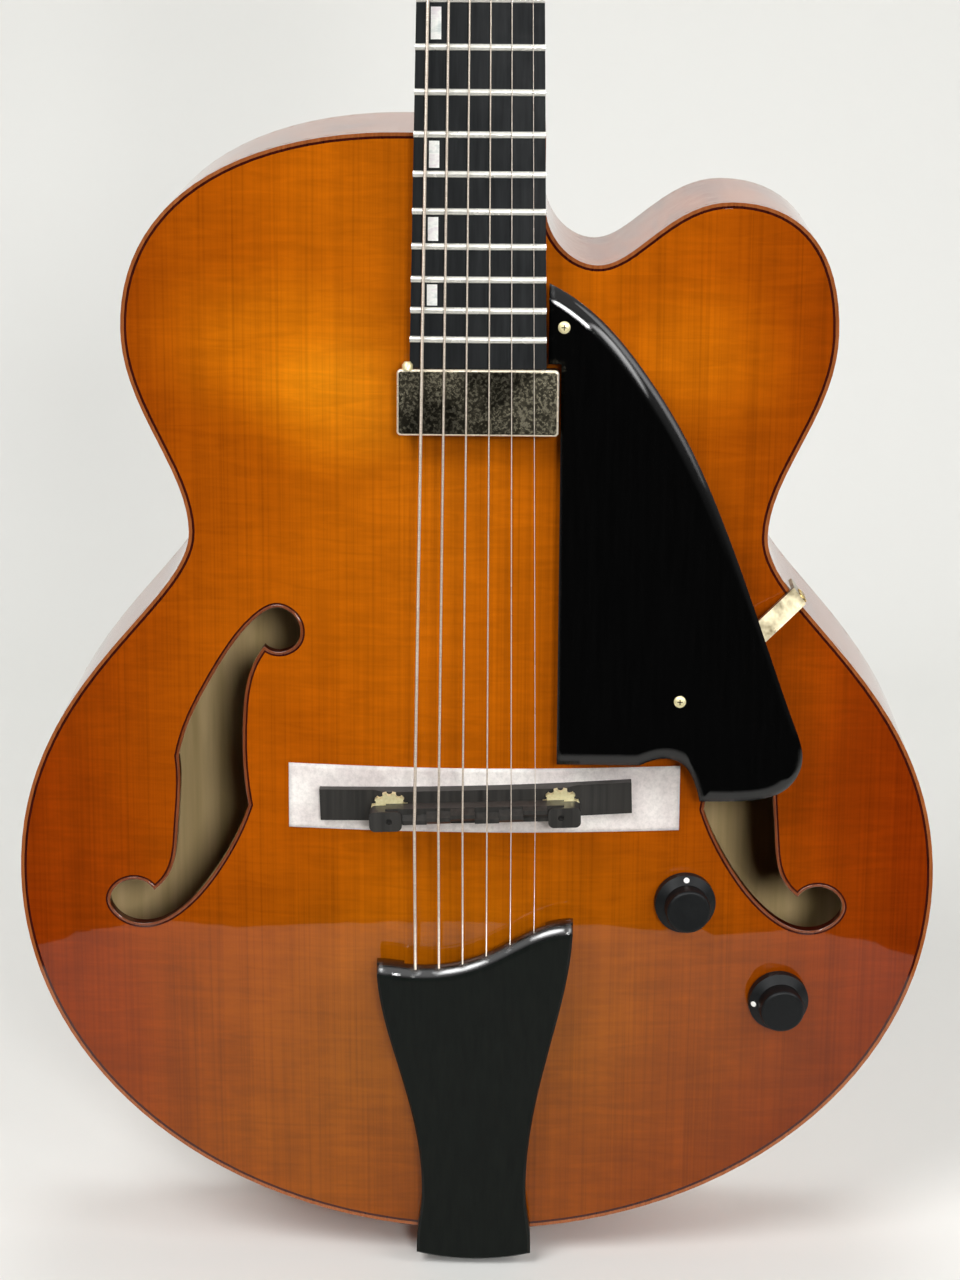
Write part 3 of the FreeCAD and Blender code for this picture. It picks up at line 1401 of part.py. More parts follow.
def make_pickup():
    share = sizes.pickup_centre / sizes.scale_length
    string_level = string_height_at_saddle + (string_height_at_nut - string_height_at_saddle) * share
    front = sizes.pickup_string_gap - string_level
    back = front + sizes.pickup_height
    z = sizes.pickup_centre
    outer = rounded_plate(sizes.pickup_length, sizes.pickup_width, sizes.pickup_corner, front, back, z)
    rim = [edge for edge in outer.Edges if edge.BoundBox.YMax < (front + back) / 2]
    outer = outer.makeFillet(sizes.pickup_edge, rim)
    inner_corner = sizes.pickup_corner - sizes.pickup_wall
    inner_length = sizes.pickup_length - 2 * sizes.pickup_wall
    inner_width = sizes.pickup_width - 2 * sizes.pickup_wall
    core = rounded_plate(inner_length, inner_width, inner_corner, front + sizes.pickup_edge, back, z)
    add_shape("pickup_cover", outer.cut(core), neck_place)
    add_shape("pickup_core", core, neck_place)
    plate_back = back + sizes.pickup_plate
    plate = rounded_plate(sizes.pickup_length, sizes.pickup_width, sizes.pickup_corner, back, plate_back, z)
    ears = []
    for side in (-1, 1):
        across = side * sizes.pickup_ear_reach
        half = RIGHT * (sizes.pickup_ear_width / 2)
        root = z + sizes.pickup_width / 2 - sizes.pickup_corner
        top = z + sizes.pickup_width / 2 + sizes.pickup_ear_length
        ears.append(block(Vector(across, back, root) - half, Vector(across, plate_back, top) + half))
    add_shape("pickup_bracket", plate.fuse(ears).removeSplitter(), neck_place)


def guard_outline():
    """The pickguard's edge in the neck's frame."""
    reach, foot = sizes.guard_reach, sizes.guard_foot

    def spread(shares):
        return [plan(reach + across * sizes.guard_width, foot + along * sizes.guard_length)
                for across, along in shares]

    outer = spread(GUARD_OUTER_SHARES)
    notch = spread(GUARD_NOTCH_SHARES)
    inner = reach + sizes.guard_step
    low = plan(inner, foot + GUARD_FOOT_SHARE * sizes.guard_length)
    step = foot + GUARD_STEP_SHARE * sizes.guard_length
    corners = [notch[-1], low, plan(inner, step), plan(reach, step), outer[0]]
    straight = [line(start, end) for start, end in zip(corners, corners[1:])]
    return Part.Wire(Part.__sortEdges__([spline(outer), spline(notch)] + straight))


def make_pickguard():
    plate = prism(guard_outline(), sizes.guard_drop, sizes.guard_drop + sizes.guard_thickness)
    middle = sizes.guard_drop + sizes.guard_thickness / 2
    free = [edge for edge in plate.Edges
            if edge.BoundBox.YMax < middle and edge.BoundBox.XLength > sizes.guard_bevel_width]
    add_shape("pickguard", plate.makeChamfer(sizes.guard_bevel_depth, sizes.guard_bevel_width, free), neck_place)


def make_strap():
    """The bracket from under the pickguard, over the body's edge and down the rib."""
    root = plan(sizes.strap_root_reach, sizes.strap_root_height)
    rim = plan(sizes.strap_rim_reach, sizes.strap_rim_height)
    way = (rim - root).normalize()
    length = (rim - root).Length
    across = way.cross(BACKWARD) * (sizes.strap_width / 2)
    thick = sizes.strap_thickness
    guard_back = neck_y + sizes.seat_gap + (sizes.guard_drop + sizes.guard_thickness) / math.cos(neck_lean)

    def under(along):
        """The depth just behind the pickguard, whose plane leans with the neck."""
        return guard_back + ((root + way * along).z - sizes.scale_end_height) * math.tan(neck_lean)

    over = front_edge - sizes.strap_gap
    start = -sizes.strap_width
    bend_start = length / 2
    bend_end = bend_start + thick
    near = length + sizes.strap_gap
    far = near + thick
    leg_end = over + sizes.strap_leg
    inner = [(start, under(start) + thick), (bend_start, under(bend_start) + thick),
             (near, over), (near, leg_end)]
    outer = [(far, leg_end), (far, over - thick), (bend_end, under(bend_end)), (start, under(start))]
    points = [root + way * along + BACKWARD * depth - across for along, depth in inner + outer]
    face = Part.Face(Part.makePolygon(points + points[:1]))
    add_shape("pickguard_bracket", face.extrude(across * 2))


def make_controls():
    body_top = "pot_body_height"
    plate = body_top + " + top_thickness + seat_gap"
    nut = plate + " + pot_nut_height"
    top = plate + " + pot_bush_height"
    bore = "pot_shaft_radius + running_fit"
    pot = revolved("pot", [("0", "0"), ("pot_body_radius", "0"), ("pot_body_radius", body_top),
                           ("pot_bush_radius", body_top), ("pot_bush_radius", plate + " + seat_gap"),
                           ("pot_nut_radius", plate + " + seat_gap"), ("pot_nut_radius", nut),
                           ("pot_bush_radius", nut), ("pot_bush_radius", top), (bore, top),
                           (bore, body_top), ("0", body_top)], keep=False)
    doc.recompute()
    sunk = Placement(UP * -(sizes.pot_body_height + sizes.top_thickness + 2 * sizes.seat_gap), Rotation())
    add_shape("potentiometers", copies(pot.Shape, [volume_place.multiply(sunk), tone_place.multiply(sunk)]))
    for label, place in (("volume_knob", volume_place), ("tone_knob", tone_place)):
        make_knob(label, place)


def make_knob(label, place):
    """A knob with its shaft, turned as one and set over the potentiometer."""
    shaft_drop = sizes.top_thickness + sizes.seat_gap
    base = "top_thickness + seat_gap + knob_lift"
    knob = revolved(label, [("0", "0"), ("pot_shaft_radius", "0"),
                            ("pot_shaft_radius", base + " + knob_recess_depth"),
                            ("knob_recess_radius", base + " + knob_recess_depth"),
                            ("knob_recess_radius", base), ("knob_radius", base),
                            ("knob_radius", base + " + knob_skirt_height"),
                            ("knob_top_radius", base + " + knob_shoulder_height"),
                            ("knob_top_radius", base + " + knob_height"), ("0", base + " + knob_height")],
                    place.multiply(Placement(UP * -shaft_drop, Rotation())))
    doc.recompute()
    rims = []
    for index, edge in enumerate(knob.Shape.Edges, start=1):
        curve = edge.Curve
        if isinstance(curve, Part.Circle) and abs(curve.Radius - sizes.knob_top_radius) < sizes.string_seat:
            rims.append((place.inverse().multVec(curve.Center).z, f"Edge{index}"))
    turned = knob.Tip
    fillet = knob.newObject("PartDesign::Fillet", label + "_rim")
    fillet.Base = (turned, [max(rims)[1]])
    fillet.Radius = sizes.knob_edge_fillet
    fillet.setExpression("Radius", "Sizes.knob_edge_fillet")


make_plates()
make_edge_trim()
make_rim()
make_tone_bars()
make_neck()
make_fretboard()
make_nut()
make_truss_rod()
make_tuners()
make_strings()
make_sheet()
make_bridge_base()
make_bridge_hardware()
make_saddle()
make_tailpiece()
make_tail_hardware()
make_pickup()
make_pickguard()
make_strap()
make_controls()
doc.recompute()

failed = [item.Label for item in doc.Objects if "Invalid" in item.State or "Error" in item.State]
unsound = [piece.Label for piece in pieces
           if piece.Shape.isNull() or not piece.Shape.isValid() or not piece.Shape.Solids]
if failed or unsound:
    raise RuntimeError(f"failed objects {failed}, unsound shapes {unsound}")

os.makedirs("parts", exist_ok=True)
for piece in pieces:
    piece.Shape.exportStep(f"parts/{piece.Label}.step")
print(len(pieces), "pieces written")
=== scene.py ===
import json
import math

import bmesh
import bpy
from mathutils import Matrix, Vector
from mathutils.bvhtree import BVHTree


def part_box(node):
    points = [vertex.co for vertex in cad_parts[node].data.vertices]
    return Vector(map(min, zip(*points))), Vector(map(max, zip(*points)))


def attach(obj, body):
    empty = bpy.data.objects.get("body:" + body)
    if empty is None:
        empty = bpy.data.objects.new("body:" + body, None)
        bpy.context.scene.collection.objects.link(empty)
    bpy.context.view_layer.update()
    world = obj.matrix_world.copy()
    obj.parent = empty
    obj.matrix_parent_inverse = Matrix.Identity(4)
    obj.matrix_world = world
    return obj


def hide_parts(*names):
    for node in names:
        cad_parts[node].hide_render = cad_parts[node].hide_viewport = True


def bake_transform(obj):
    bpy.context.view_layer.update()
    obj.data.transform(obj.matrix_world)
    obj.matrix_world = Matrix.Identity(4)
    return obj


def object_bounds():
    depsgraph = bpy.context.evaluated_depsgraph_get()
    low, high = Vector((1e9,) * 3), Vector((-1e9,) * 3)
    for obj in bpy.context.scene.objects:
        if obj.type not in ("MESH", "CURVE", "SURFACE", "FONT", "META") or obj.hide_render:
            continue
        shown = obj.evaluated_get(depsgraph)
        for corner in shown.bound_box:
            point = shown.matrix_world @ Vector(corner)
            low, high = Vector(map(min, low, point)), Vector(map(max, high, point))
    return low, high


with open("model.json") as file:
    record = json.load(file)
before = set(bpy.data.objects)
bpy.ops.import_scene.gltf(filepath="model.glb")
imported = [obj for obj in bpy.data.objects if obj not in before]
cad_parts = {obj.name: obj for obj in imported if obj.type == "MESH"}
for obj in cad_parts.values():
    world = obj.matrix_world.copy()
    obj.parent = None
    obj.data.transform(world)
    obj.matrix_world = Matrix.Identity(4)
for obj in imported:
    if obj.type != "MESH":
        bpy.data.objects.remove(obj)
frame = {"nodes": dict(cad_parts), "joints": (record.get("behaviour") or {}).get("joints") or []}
cad_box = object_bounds()
nodes = frame["nodes"]
scene = bpy.context.scene

# Archtop guitar: X to the treble side, Y to the back, Z up the neck, in metres.

FRONT = Vector((0, -1, 0))
UP = Vector((0, 0, 1))
NECK_LEAN = math.radians(4)
NECK_FRONT = Vector((0, -math.cos(NECK_LEAN), math.sin(NECK_LEAN)))

# Lines are cast from well in front or from a little way out; corners closer than MERGE become one

CAST_FROM = -0.2
CAST_REACH = 0.05
MERGE = 1e-7
SHARP_ANGLE = math.radians(40)


# Finishes

def linear(red, green, blue):
    """A colour given in display values from 0 to 255."""
    def channel(value):
        share = value / 255
        return share / 12.92 if share <= 0.04045 else ((share + 0.055) / 1.055) ** 2.4
    return (channel(red), channel(green), channel(blue), 1)


def blank(name, roughness, metal=0.0, coat=0.0, coat_roughness=0.03, gloss=0.5):
    """A new finish with its node tree and shader; gloss is the reflection under any coat."""
    material = bpy.data.materials.new(name)
    material.use_nodes = True
    tree = material.node_tree
    shader = tree.nodes["Principled BSDF"]
    shader.inputs["Roughness"].default_value = roughness
    shader.inputs["Metallic"].default_value = metal
    shader.inputs["Coat Weight"].default_value = coat
    shader.inputs["Coat Roughness"].default_value = coat_roughness
    shader.inputs["Specular IOR Level"].default_value = gloss
    return material, tree, shader


def places(tree, scale=(1, 1, 1), shift=(0, 0, 0)):
    """Object coordinates, shifted and scaled."""
    coordinates = tree.nodes.new("ShaderNodeTexCoord")
    mapping = tree.nodes.new("ShaderNodeMapping")
    mapping.inputs["Location"].default_value = [-part * size for part, size in zip(shift, scale)]
    mapping.inputs["Scale"].default_value = scale
    tree.links.new(coordinates.outputs["Object"], mapping.inputs["Vector"])
    return mapping.outputs["Vector"]


def noise(tree, scale, detail=2.0, roughness=0.5, waviness=0.0):
    """A cloudy value, with its own scale along each axis."""
    texture = tree.nodes.new("ShaderNodeTexNoise")
    texture.inputs["Scale"].default_value = 1
    texture.inputs["Detail"].default_value = detail
    texture.inputs["Roughness"].default_value = roughness
    texture.inputs["Distortion"].default_value = waviness
    tree.links.new(places(tree, scale), texture.inputs["Vector"])
    return texture.outputs["Fac"]


def ramp(tree, source, stops, smooth=False):
    """Colours or greys spread over a value."""
    node = tree.nodes.new("ShaderNodeValToRGB")
    band = node.color_ramp
    band.interpolation = "EASE" if smooth else "LINEAR"
    while len(band.elements) < len(stops):
        band.elements.new(0.5)
    for element, (place, colour) in zip(band.elements, stops):
        element.position = place
        element.color = colour if isinstance(colour, tuple) else (colour, colour, colour, 1)
    tree.links.new(source, node.inputs["Fac"])
    return node.outputs["Color"]


def times(tree, first, second):
    """One colour multiplied by another."""
    node = tree.nodes.new("ShaderNodeMix")
    node.data_type = "RGBA"
    node.blend_type = "MULTIPLY"
    node.inputs[0].default_value = 1
    tree.links.new(first, node.inputs[6])
    tree.links.new(second, node.inputs[7])
    return node.outputs[2]


def sums(tree, operation, first, second, third=None):
    """One step of arithmetic on numbers or node outputs."""
    node = tree.nodes.new("ShaderNodeMath")
    node.operation = operation
    for socket, value in zip(node.inputs, (first, second, third)):
        if value is None:
            continue
        if isinstance(value, (int, float)):
            socket.default_value = value
        else:
            tree.links.new(value, socket)
    return node.outputs[0]


def bump(tree, shader, source, strength, distance):
    """Fine relief from a value."""
    node = tree.nodes.new("ShaderNodeBump")
    node.inputs["Strength"].default_value = strength
    node.inputs["Distance"].default_value = distance
    tree.links.new(source, node.inputs["Height"])
    tree.links.new(node.outputs["Normal"], shader.inputs["Normal"])


def round_edges(material, radius):
    """Turn the shading of a finish smoothly round the edges of its piece."""
    tree = material.node_tree
    shader = tree.nodes["Principled BSDF"]
    node = tree.nodes.new("ShaderNodeBevel")
    node.samples = 8
    node.inputs["Radius"].default_value = radius
    for socket in ("Normal", "Coat Normal"):
        tree.links.new(node.outputs["Normal"], shader.inputs[socket])


def oval(tree, centre, half_width, half_height):
    """How far a point lies from an oval's centre on the front: 1 on its edge."""
    vector = places(tree, (1 / half_width, 0, 1 / half_height), (centre[0], 0, centre[1]))
    node = tree.nodes.new("ShaderNodeVectorMath")
    node.operation = "LENGTH"
    tree.links.new(vector, node.inputs[0])
    return node.outputs["Value"]


WEAR = 0.08
LEAST_ROUGHNESS = 0.02


def worked(name, dark, light, roughness, grain, metal=0.0, coat=0.0, gloss=0.5, relief=0.0):
    """A finish between two close colours over a fine grain, with handling marks in its gloss."""
    material, tree, shader = blank(name, roughness, metal, coat, gloss=gloss)
    fine = noise(tree, grain, 3.0, 0.6)
    tree.links.new(ramp(tree, fine, [(0.3, dark), (0.7, light)]), shader.inputs["Base Color"])
    marks = noise(tree, (60, 60, 60), 3.0, 0.65)
    sheen = [(0.35, max(roughness - WEAR, LEAST_ROUGHNESS)), (0.7, roughness + WEAR)]
    tree.links.new(ramp(tree, marks, sheen), shader.inputs["Roughness"])
    if relief:
        bump(tree, shader, fine, 0.4, relief)
    return material


def lacquered(name, dark, light, roughness, grain):
    """A worked finish that shines only in its clear coat."""
    return worked(name, dark, light, roughness, grain, coat=1.0, gloss=0.0)


# Ovals on the top: centre, half width and half height; a gain multiplies the colour in the middle. The burst
# oval sits high, so it also paints light from above; the spots are painted light over part of the top's own
# lighter colour; the low oval is a painted reflection tint.

BURST_AND_PAINTED_TOP_LIGHT = ((-0.015, 0.4), 0.225, 0.58)
PAINTED_LIGHT_SPOTS = [((-0.095, 0.41), 0.075, 0.042), ((0.098, 0.408), 0.045, 0.042), ((-0.06, 0.385), 0.05, 0.035)]
PAINTED_LIGHT_GAIN = (1.38, 1.65, 2.0, 1)
PAINTED_REFLECTION_TINT = ((0.02, 0.03), 0.3, 0.2)
PAINTED_REFLECTION_GAIN = (0.84, 1.12, 1.0, 1)

# How strongly the clear coats reflect

LACQUER_IOR = 1.36
POLISH_IOR = 2.1


def spruce_finish():
    """Amber lacquer on straight-grained spruce, redder and darker toward the edge and the bottom, with
    painted light on the upper body and a painted reflection tint low down.
    """
    material, tree, shader = blank("spruce_top", 0.4, coat=1.0, coat_roughness=0.025, gloss=0.0)
    shader.inputs["Coat IOR"].default_value = LACQUER_IOR
    # The burst is centred high on the body, so the top is also lighter above and darker below: painted light
    # from above.
    burst_and_light = oval(tree, *BURST_AND_PAINTED_TOP_LIGHT)
    cloud = noise(tree, (10, 10, 8), 2.0)
    drift = sums(tree, "MULTIPLY_ADD", sums(tree, "SUBTRACT", cloud, 0.5), 0.38, burst_and_light)
    colour = ramp(tree, drift, [(0.05, linear(184, 96, 7)), (0.3, linear(176, 88, 4)),
                                (0.46, linear(166, 79, 3)), (0.68, linear(148, 64, 2)),
                                (0.85, linear(136, 52, 2)), (1.0, linear(124, 42, 1))])
    # Painted light: lighter spots on the upper top, partly the top's own colour.
    for painted_spot in PAINTED_LIGHT_SPOTS:
        painted_light = ramp(tree, oval(tree, *painted_spot), [(0.1, PAINTED_LIGHT_GAIN), (1.0, 1.0)], True)
        colour = times(tree, colour, painted_light)
    # Painted reflection: the lower top is tinted less red and more green, standing in for a warm haze
    # reflected in its lacquer.
    low = ramp(tree, oval(tree, *PAINTED_REFLECTION_TINT), [(0.3, PAINTED_REFLECTION_GAIN), (1.0, 1.0)], True)
    colour = times(tree, colour, low)
    lines = ramp(tree, noise(tree, (820, 40, 4), 3.0, 0.62), [(0.3, 0.8), (0.52, 1.0), (0.75, 1.07)])
    mottle = ramp(tree, noise(tree, (50, 20, 34), 3.0, 0.6), [(0.35, 0.92), (0.65, 1.06)])
    bands = ramp(tree, noise(tree, (120, 8, 2), 2.0), [(0.3, 0.94), (0.7, 1.04)])
    silk = ramp(tree, noise(tree, (34, 20, 300), 3.0, 0.6, 0.8), [(0.35, 0.9), (0.65, 1.07)])
    for layer in (lines, mottle, bands, silk):
        colour = times(tree, colour, layer)
    tree.links.new(colour, shader.inputs["Base Color"])
    return material


def maple_finish(name, light, dark):
    """Lacquered maple with flame figure across the grain."""
    material, tree, shader = blank(name, 0.35, coat=1.0, coat_roughness=0.03, gloss=0.0)
    flame = noise(tree, (14, 14, 160), 2.0, 0.55)
    base = ramp(tree, flame, [(0.32, dark), (0.5, light), (0.68, dark)], True)
    lines = ramp(tree, noise(tree, (420, 420, 6), 2.0), [(0.3, 0.86), (0.7, 1.06)])
    tree.links.new(times(tree, base, lines), shader.inputs["Base Color"])
    return material


def cover_finish():
    """Bright plate with the clouded, pitted bloom of old plating."""
    material, tree, shader = blank("cover_gold", 0.1, metal=1.0)
    pits = noise(tree, (620, 620, 620), 5.0, 0.75)
    plate = ramp(tree, pits, [(0.4, linear(158, 150, 126)), (0.62, linear(92, 88, 74))])
    cloud = ramp(tree, noise(tree, (50, 50, 50), 2.0), [(0.36, 0.3), (0.6, 1.1)])
    tree.links.new(times(tree, plate, cloud), shader.inputs["Base Color"])
    tree.links.new(ramp(tree, pits, [(0.44, 0.12), (0.68, 0.46)]), shader.inputs["Roughness"])
    tree.links.new(ramp(tree, pits, [(0.5, 1.0), (0.76, 0.62)]), shader.inputs["Metallic"])
    bump(tree, shader, noise(tree, (150, 150, 150), 2.0), 0.06, 0.0004)
    return material


def pearl_finish():
    """Pearl shell with pale swirls."""
    material, tree, shader = blank("pearl", 0.16, coat=0.6)
    swirl = noise(tree, (130, 130, 260), 3.0, 0.7)
    tree.links.new(ramp(tree, swirl, [(0.3, linear(202, 208, 204)), (0.5, linear(240, 240, 234)),
                                      (0.7, linear(222, 214, 216))]), shader.inputs["Base Color"])
    return material


def sheet_finish():
    """Soft white felted sheet."""
    material, tree, shader = blank("white_sheet", 0.85, gloss=0.1)
    felt = noise(tree, (520, 520, 520), 4.0, 0.75)
    cloud = ramp(tree, noise(tree, (60, 60, 60), 2.0),
                 [(0.35, linear(222, 212, 208)), (0.65, linear(246, 240, 234))])
    fibres = ramp(tree, felt, [(0.3, 0.8), (0.6, 1.0)])
    tree.links.new(times(tree, cloud, fibres), shader.inputs["Base Color"])
    bump(tree, shader, felt, 0.5, 0.0004)
    return material


LONG_GRAIN = (500, 500, 8)
EVEN_GRAIN = (700, 700, 700)
BINDING_GRAIN = (900, 900, 60)
INSIDE_GRAIN = (160, 160, 5)
BARE_GRAIN = (240, 240, 6)
BONE_GRAIN = (300, 300, 300)
STRAP_CLOUD = (110, 110, 110)
WINDING_GRAIN = (300, 300, 2600)
SPRUCE = spruce_finish()
MAPLE = maple_finish("maple_body", linear(168, 80, 16), linear(128, 50, 8))
NECK_MAPLE = maple_finish("maple_neck", linear(164, 78, 18), linear(132, 54, 10))
BACK_INSIDE = worked("back_inside", linear(190, 164, 112), linear(220, 192, 140), 0.75, INSIDE_GRAIN,
                     gloss=0.15)
BARE_WOOD = worked("inner_wood", linear(140, 112, 74), linear(182, 154, 112), 0.7, BARE_GRAIN, gloss=0.2)
BINDING = lacquered("binding_wood", linear(132, 70, 32), linear(158, 90, 46), 0.35, BINDING_GRAIN)
HOLE_BINDING = lacquered("hole_binding", linear(104, 50, 24), linear(130, 68, 34), 0.35, BINDING_GRAIN)
# The dark line of the purflings, also used as painted shade on the hole bindings' inner walls.
DARK_LINE = lacquered("dark_line", linear(48, 12, 6), linear(66, 20, 10), 0.35, BINDING_GRAIN)
EBONY = worked("ebony", linear(36, 35, 33), linear(52, 50, 47), 0.46, LONG_GRAIN, gloss=0.25)
TAIL_EBONY = worked("tail_ebony", linear(9, 13, 11), linear(16, 20, 17), 0.42, LONG_GRAIN, gloss=0.12)
TAIL_GLOSS = lacquered("tail_gloss", linear(6, 7, 7), linear(9, 10, 10), 0.3, LONG_GRAIN)
TAIL_GLOSS.node_tree.nodes["Principled BSDF"].inputs["Coat IOR"].default_value = POLISH_IOR
HEAD_GLOSS = lacquered("head_gloss", linear(10, 10, 10), linear(17, 16, 16), 0.3, LONG_GRAIN)
GUARD_BLACK = lacquered("guard_black", linear(1, 1, 1), linear(3, 3, 3), 0.3, LONG_GRAIN)
BOARD = worked("board_ebony", linear(17, 19, 20), linear(32, 34, 35), 0.5, LONG_GRAIN, gloss=0.1)
FRET_METAL = worked("fret_metal", linear(224, 222, 212), linear(244, 242, 232), 0.26, EVEN_GRAIN, metal=0.45)
PEARL = pearl_finish()
BONE = worked("bone", linear(216, 204, 174), linear(236, 226, 200), 0.35, BONE_GRAIN)
STEEL = worked("steel", linear(150, 150, 150), linear(182, 182, 182), 0.35, EVEN_GRAIN, metal=1.0)
DARK_STEEL = worked("dark_steel", linear(56, 53, 48), linear(80, 76, 70), 0.4, EVEN_GRAIN, metal=1.0)
GOLD = worked("gold", linear(222, 188, 116), linear(238, 210, 146), 0.17, EVEN_GRAIN, metal=1.0)
PALE_GOLD = worked("pale_gold", linear(226, 212, 156), linear(246, 236, 190), 0.36, EVEN_GRAIN, metal=0.45)
STRAP_GOLD = worked("strap_gold", linear(84, 74, 50), linear(226, 214, 180), 0.34, STRAP_CLOUD, metal=0.9)
COVER_GOLD = cover_finish()
# A paler, half-diffuse copy of the cover's gold for its rounded edges: a painted highlight.
PAINTED_EDGE_HIGHLIGHT = worked("painted_cover_edge_highlight", linear(232, 216, 190), linear(250, 238, 216), 0.3, EVEN_GRAIN, metal=0.5)
PLAIN_STRING = worked("plain_string", linear(214, 200, 186), linear(232, 220, 206), 0.34, EVEN_GRAIN,
                      metal=0.4)
WOUND_STRING = worked("wound_string", linear(190, 176, 160), linear(222, 208, 192), 0.4, WINDING_GRAIN,
                      metal=0.4, relief=0.0001)
SHEET_WHITE = sheet_finish()
PICKUP_BLACK = worked("pickup_black", linear(18, 18, 18), linear(30, 30, 30), 0.6, EVEN_GRAIN, gloss=0.2)
KNOB_BLACK = worked("knob_black", linear(10, 12, 13), linear(17, 19, 20), 0.46, EVEN_GRAIN, gloss=0.2,
                    relief=0.00005)
WHITE_DOT = worked("white_dot", linear(232, 232, 226), linear(246, 246, 242), 0.4, EVEN_GRAIN)
# Painted shade of a screw's slot, laid on a raised cross.
PAINTED_SLOT_SHADE = worked("painted_slot_shade", linear(40, 32, 18), linear(58, 48, 28), 0.6, EVEN_GRAIN, gloss=0.1)

ROUNDED_EDGES = {GUARD_BLACK: 0.004, HOLE_BINDING: 0.001, TAIL_GLOSS: 0.004}
for material, radius in ROUNDED_EDGES.items():
    round_edges(material, radius)

NODE_FINISHES = {
    SPRUCE: ["top_plate"],
    MAPLE: ["back_plate", "bass_rib", "treble_rib"],
    BARE_WOOD: ["top_lining", "back_lining", "neck_block", "tail_block", "tone_bars"],
    BINDING: ["top_binding", "back_binding"],
    HOLE_BINDING: ["f_hole_bindings"],
    DARK_LINE: ["purflings"],
    NECK_MAPLE: ["neck"],
    EBONY: ["heel_cap", "bridge_base", "bridge_saddle"],
    HEAD_GLOSS: ["headstock_veneer", "truss_rod_cover"],
    TAIL_EBONY: ["tailpiece"],
    BOARD: ["fretboard"],
    FRET_METAL: ["frets"],
    PEARL: ["fret_inlays"],
    BONE: ["nut"],
    STEEL: ["truss_rod", "potentiometers"],
    DARK_STEEL: ["bridge_posts"],
    PALE_GOLD: ["thumbwheel_bass", "thumbwheel_treble"],
    STRAP_GOLD: ["pickguard_bracket"],
    GUARD_BLACK: ["pickguard"],
    GOLD: ["tuner_housings", "tuner_bushings", "tailpiece_bracket", "end_pin_jack", "strap_button",
           "pickup_bracket"]
          + [f"tuner_{piece}_{number}" for piece in ("key", "post") for number in range(1, 7)],
    COVER_GOLD: ["pickup_cover"],
    PICKUP_BLACK: ["pickup_core"],
    KNOB_BLACK: ["volume_knob", "tone_knob"],
}
for material, names in NODE_FINISHES.items():
    for name in names:
        nodes[name].data.materials.clear()
        nodes[name].data.materials.append(material)


def second_finish(name, material, wanted):
    """Give the faces of a CAD node that answer a test a finish of their own."""
    mesh = nodes[name].data
    mesh.materials.append(material)
    for face in mesh.polygons:
        if wanted(face):
            face.material_index = 1


# Where a second finish starts: the least turn of a face toward a side, and the tailpiece's crest

PLATE_INSIDE = 0.5
COVER_EDGE_TURNS = (0.05, 0.97)
SHADED_HOLE_WALL = -0.6
CREST_TURN = 0.2
TAIL_CREST = 0.11


def on_cover_edge(face):
    least, most = COVER_EDGE_TURNS
    return least < face.normal.dot(NECK_FRONT) < most


def on_tail_crest(face):
    return face.center.z > TAIL_CREST and face.normal.z > CREST_TURN


second_finish("top_plate", BARE_WOOD, lambda face: face.normal.y > PLATE_INSIDE)
second_finish("back_plate", BACK_INSIDE, lambda face: face.normal.y < -PLATE_INSIDE)
# Painted highlight: the cover's rounded edges get the paler gold.
second_finish("pickup_cover", PAINTED_EDGE_HIGHLIGHT, on_cover_edge)
# Painted shade: the hole bindings' inner walls get the dark line's finish.
second_finish("f_hole_bindings", DARK_LINE, lambda face: face.normal.y > SHADED_HOLE_WALL)
second_finish("tailpiece", TAIL_GLOSS, on_tail_crest)


# Help for the pieces

def piece(name, shape, material, slot):
    """An object from a mesh under construction, shaded smooth but for its sharp edges."""
    bmesh.ops.recalc_face_normals(shape, faces=shape.faces)
    mesh = bpy.data.meshes.new(name)
    shape.to_mesh(mesh)
    shape.free()
    mesh.materials.append(material)
    mesh.shade_smooth()
    mesh.set_sharp_from_angle(angle=SHARP_ANGLE)
    made = bpy.data.objects.new(name, mesh)
    scene.collection.objects.link(made)
    return made


def copied(*names):
    """One mesh of several CAD nodes, its loose corners merged."""
    shape = bmesh.new()
    for name in names:
        shape.from_mesh(nodes[name].data)
    bmesh.ops.remove_doubles(shape, verts=shape.verts, dist=MERGE)
    return shape


def surface(name):
    """The surface of a CAD node, for casting lines at it."""
    mesh = nodes[name].data
    return BVHTree.FromPolygons([vert.co for vert in mesh.vertices],
                                [face.vertices for face in mesh.polygons])


def landing(name, start, way):
    """Where a line from a point first meets a CAD node, and the way out of the surface there."""
    return surface(name).ray_cast(Vector(start), Vector(way))[:2]


def upright(place, way):
    """A frame at a place whose third axis points a way and whose second points up."""
    third = Vector(way).normalized()
    first = UP.cross(third).normalized()
    return Matrix.Translation(place) @ Matrix((first, third.cross(first), third)).transposed().to_4x4()


def turned(profile, steps=32):
    """A shape spun about the third axis from points of radius and height, the first on the axis."""
    shape = bmesh.new()
    rail = [shape.verts.new((radius, 0, height)) for radius, height in profile]
    edges = [shape.edges.new(pair) for pair in zip(rail, rail[1:])]
    bmesh.ops.spin(shape, geom=rail + edges, cent=(0, 0, 0), axis=(0, 0, 1), angle=2 * math.pi, steps=steps,
                   use_merge=True)
    bmesh.ops.remove_doubles(shape, verts=shape.verts, dist=MERGE)
    return shape


SCREW_HEIGHT_SHARE = 0.34
SCREW_PROFILE_SHARES = [(0, 1), (0.62, 1), (0.86, 0.78), (1, 0.3), (1, -1)]
SLOT_LENGTH_SHARE = 0.9
SLOT_WIDTH_SHARE = 0.17
SLOT_LIFT_SHARE = 0.55


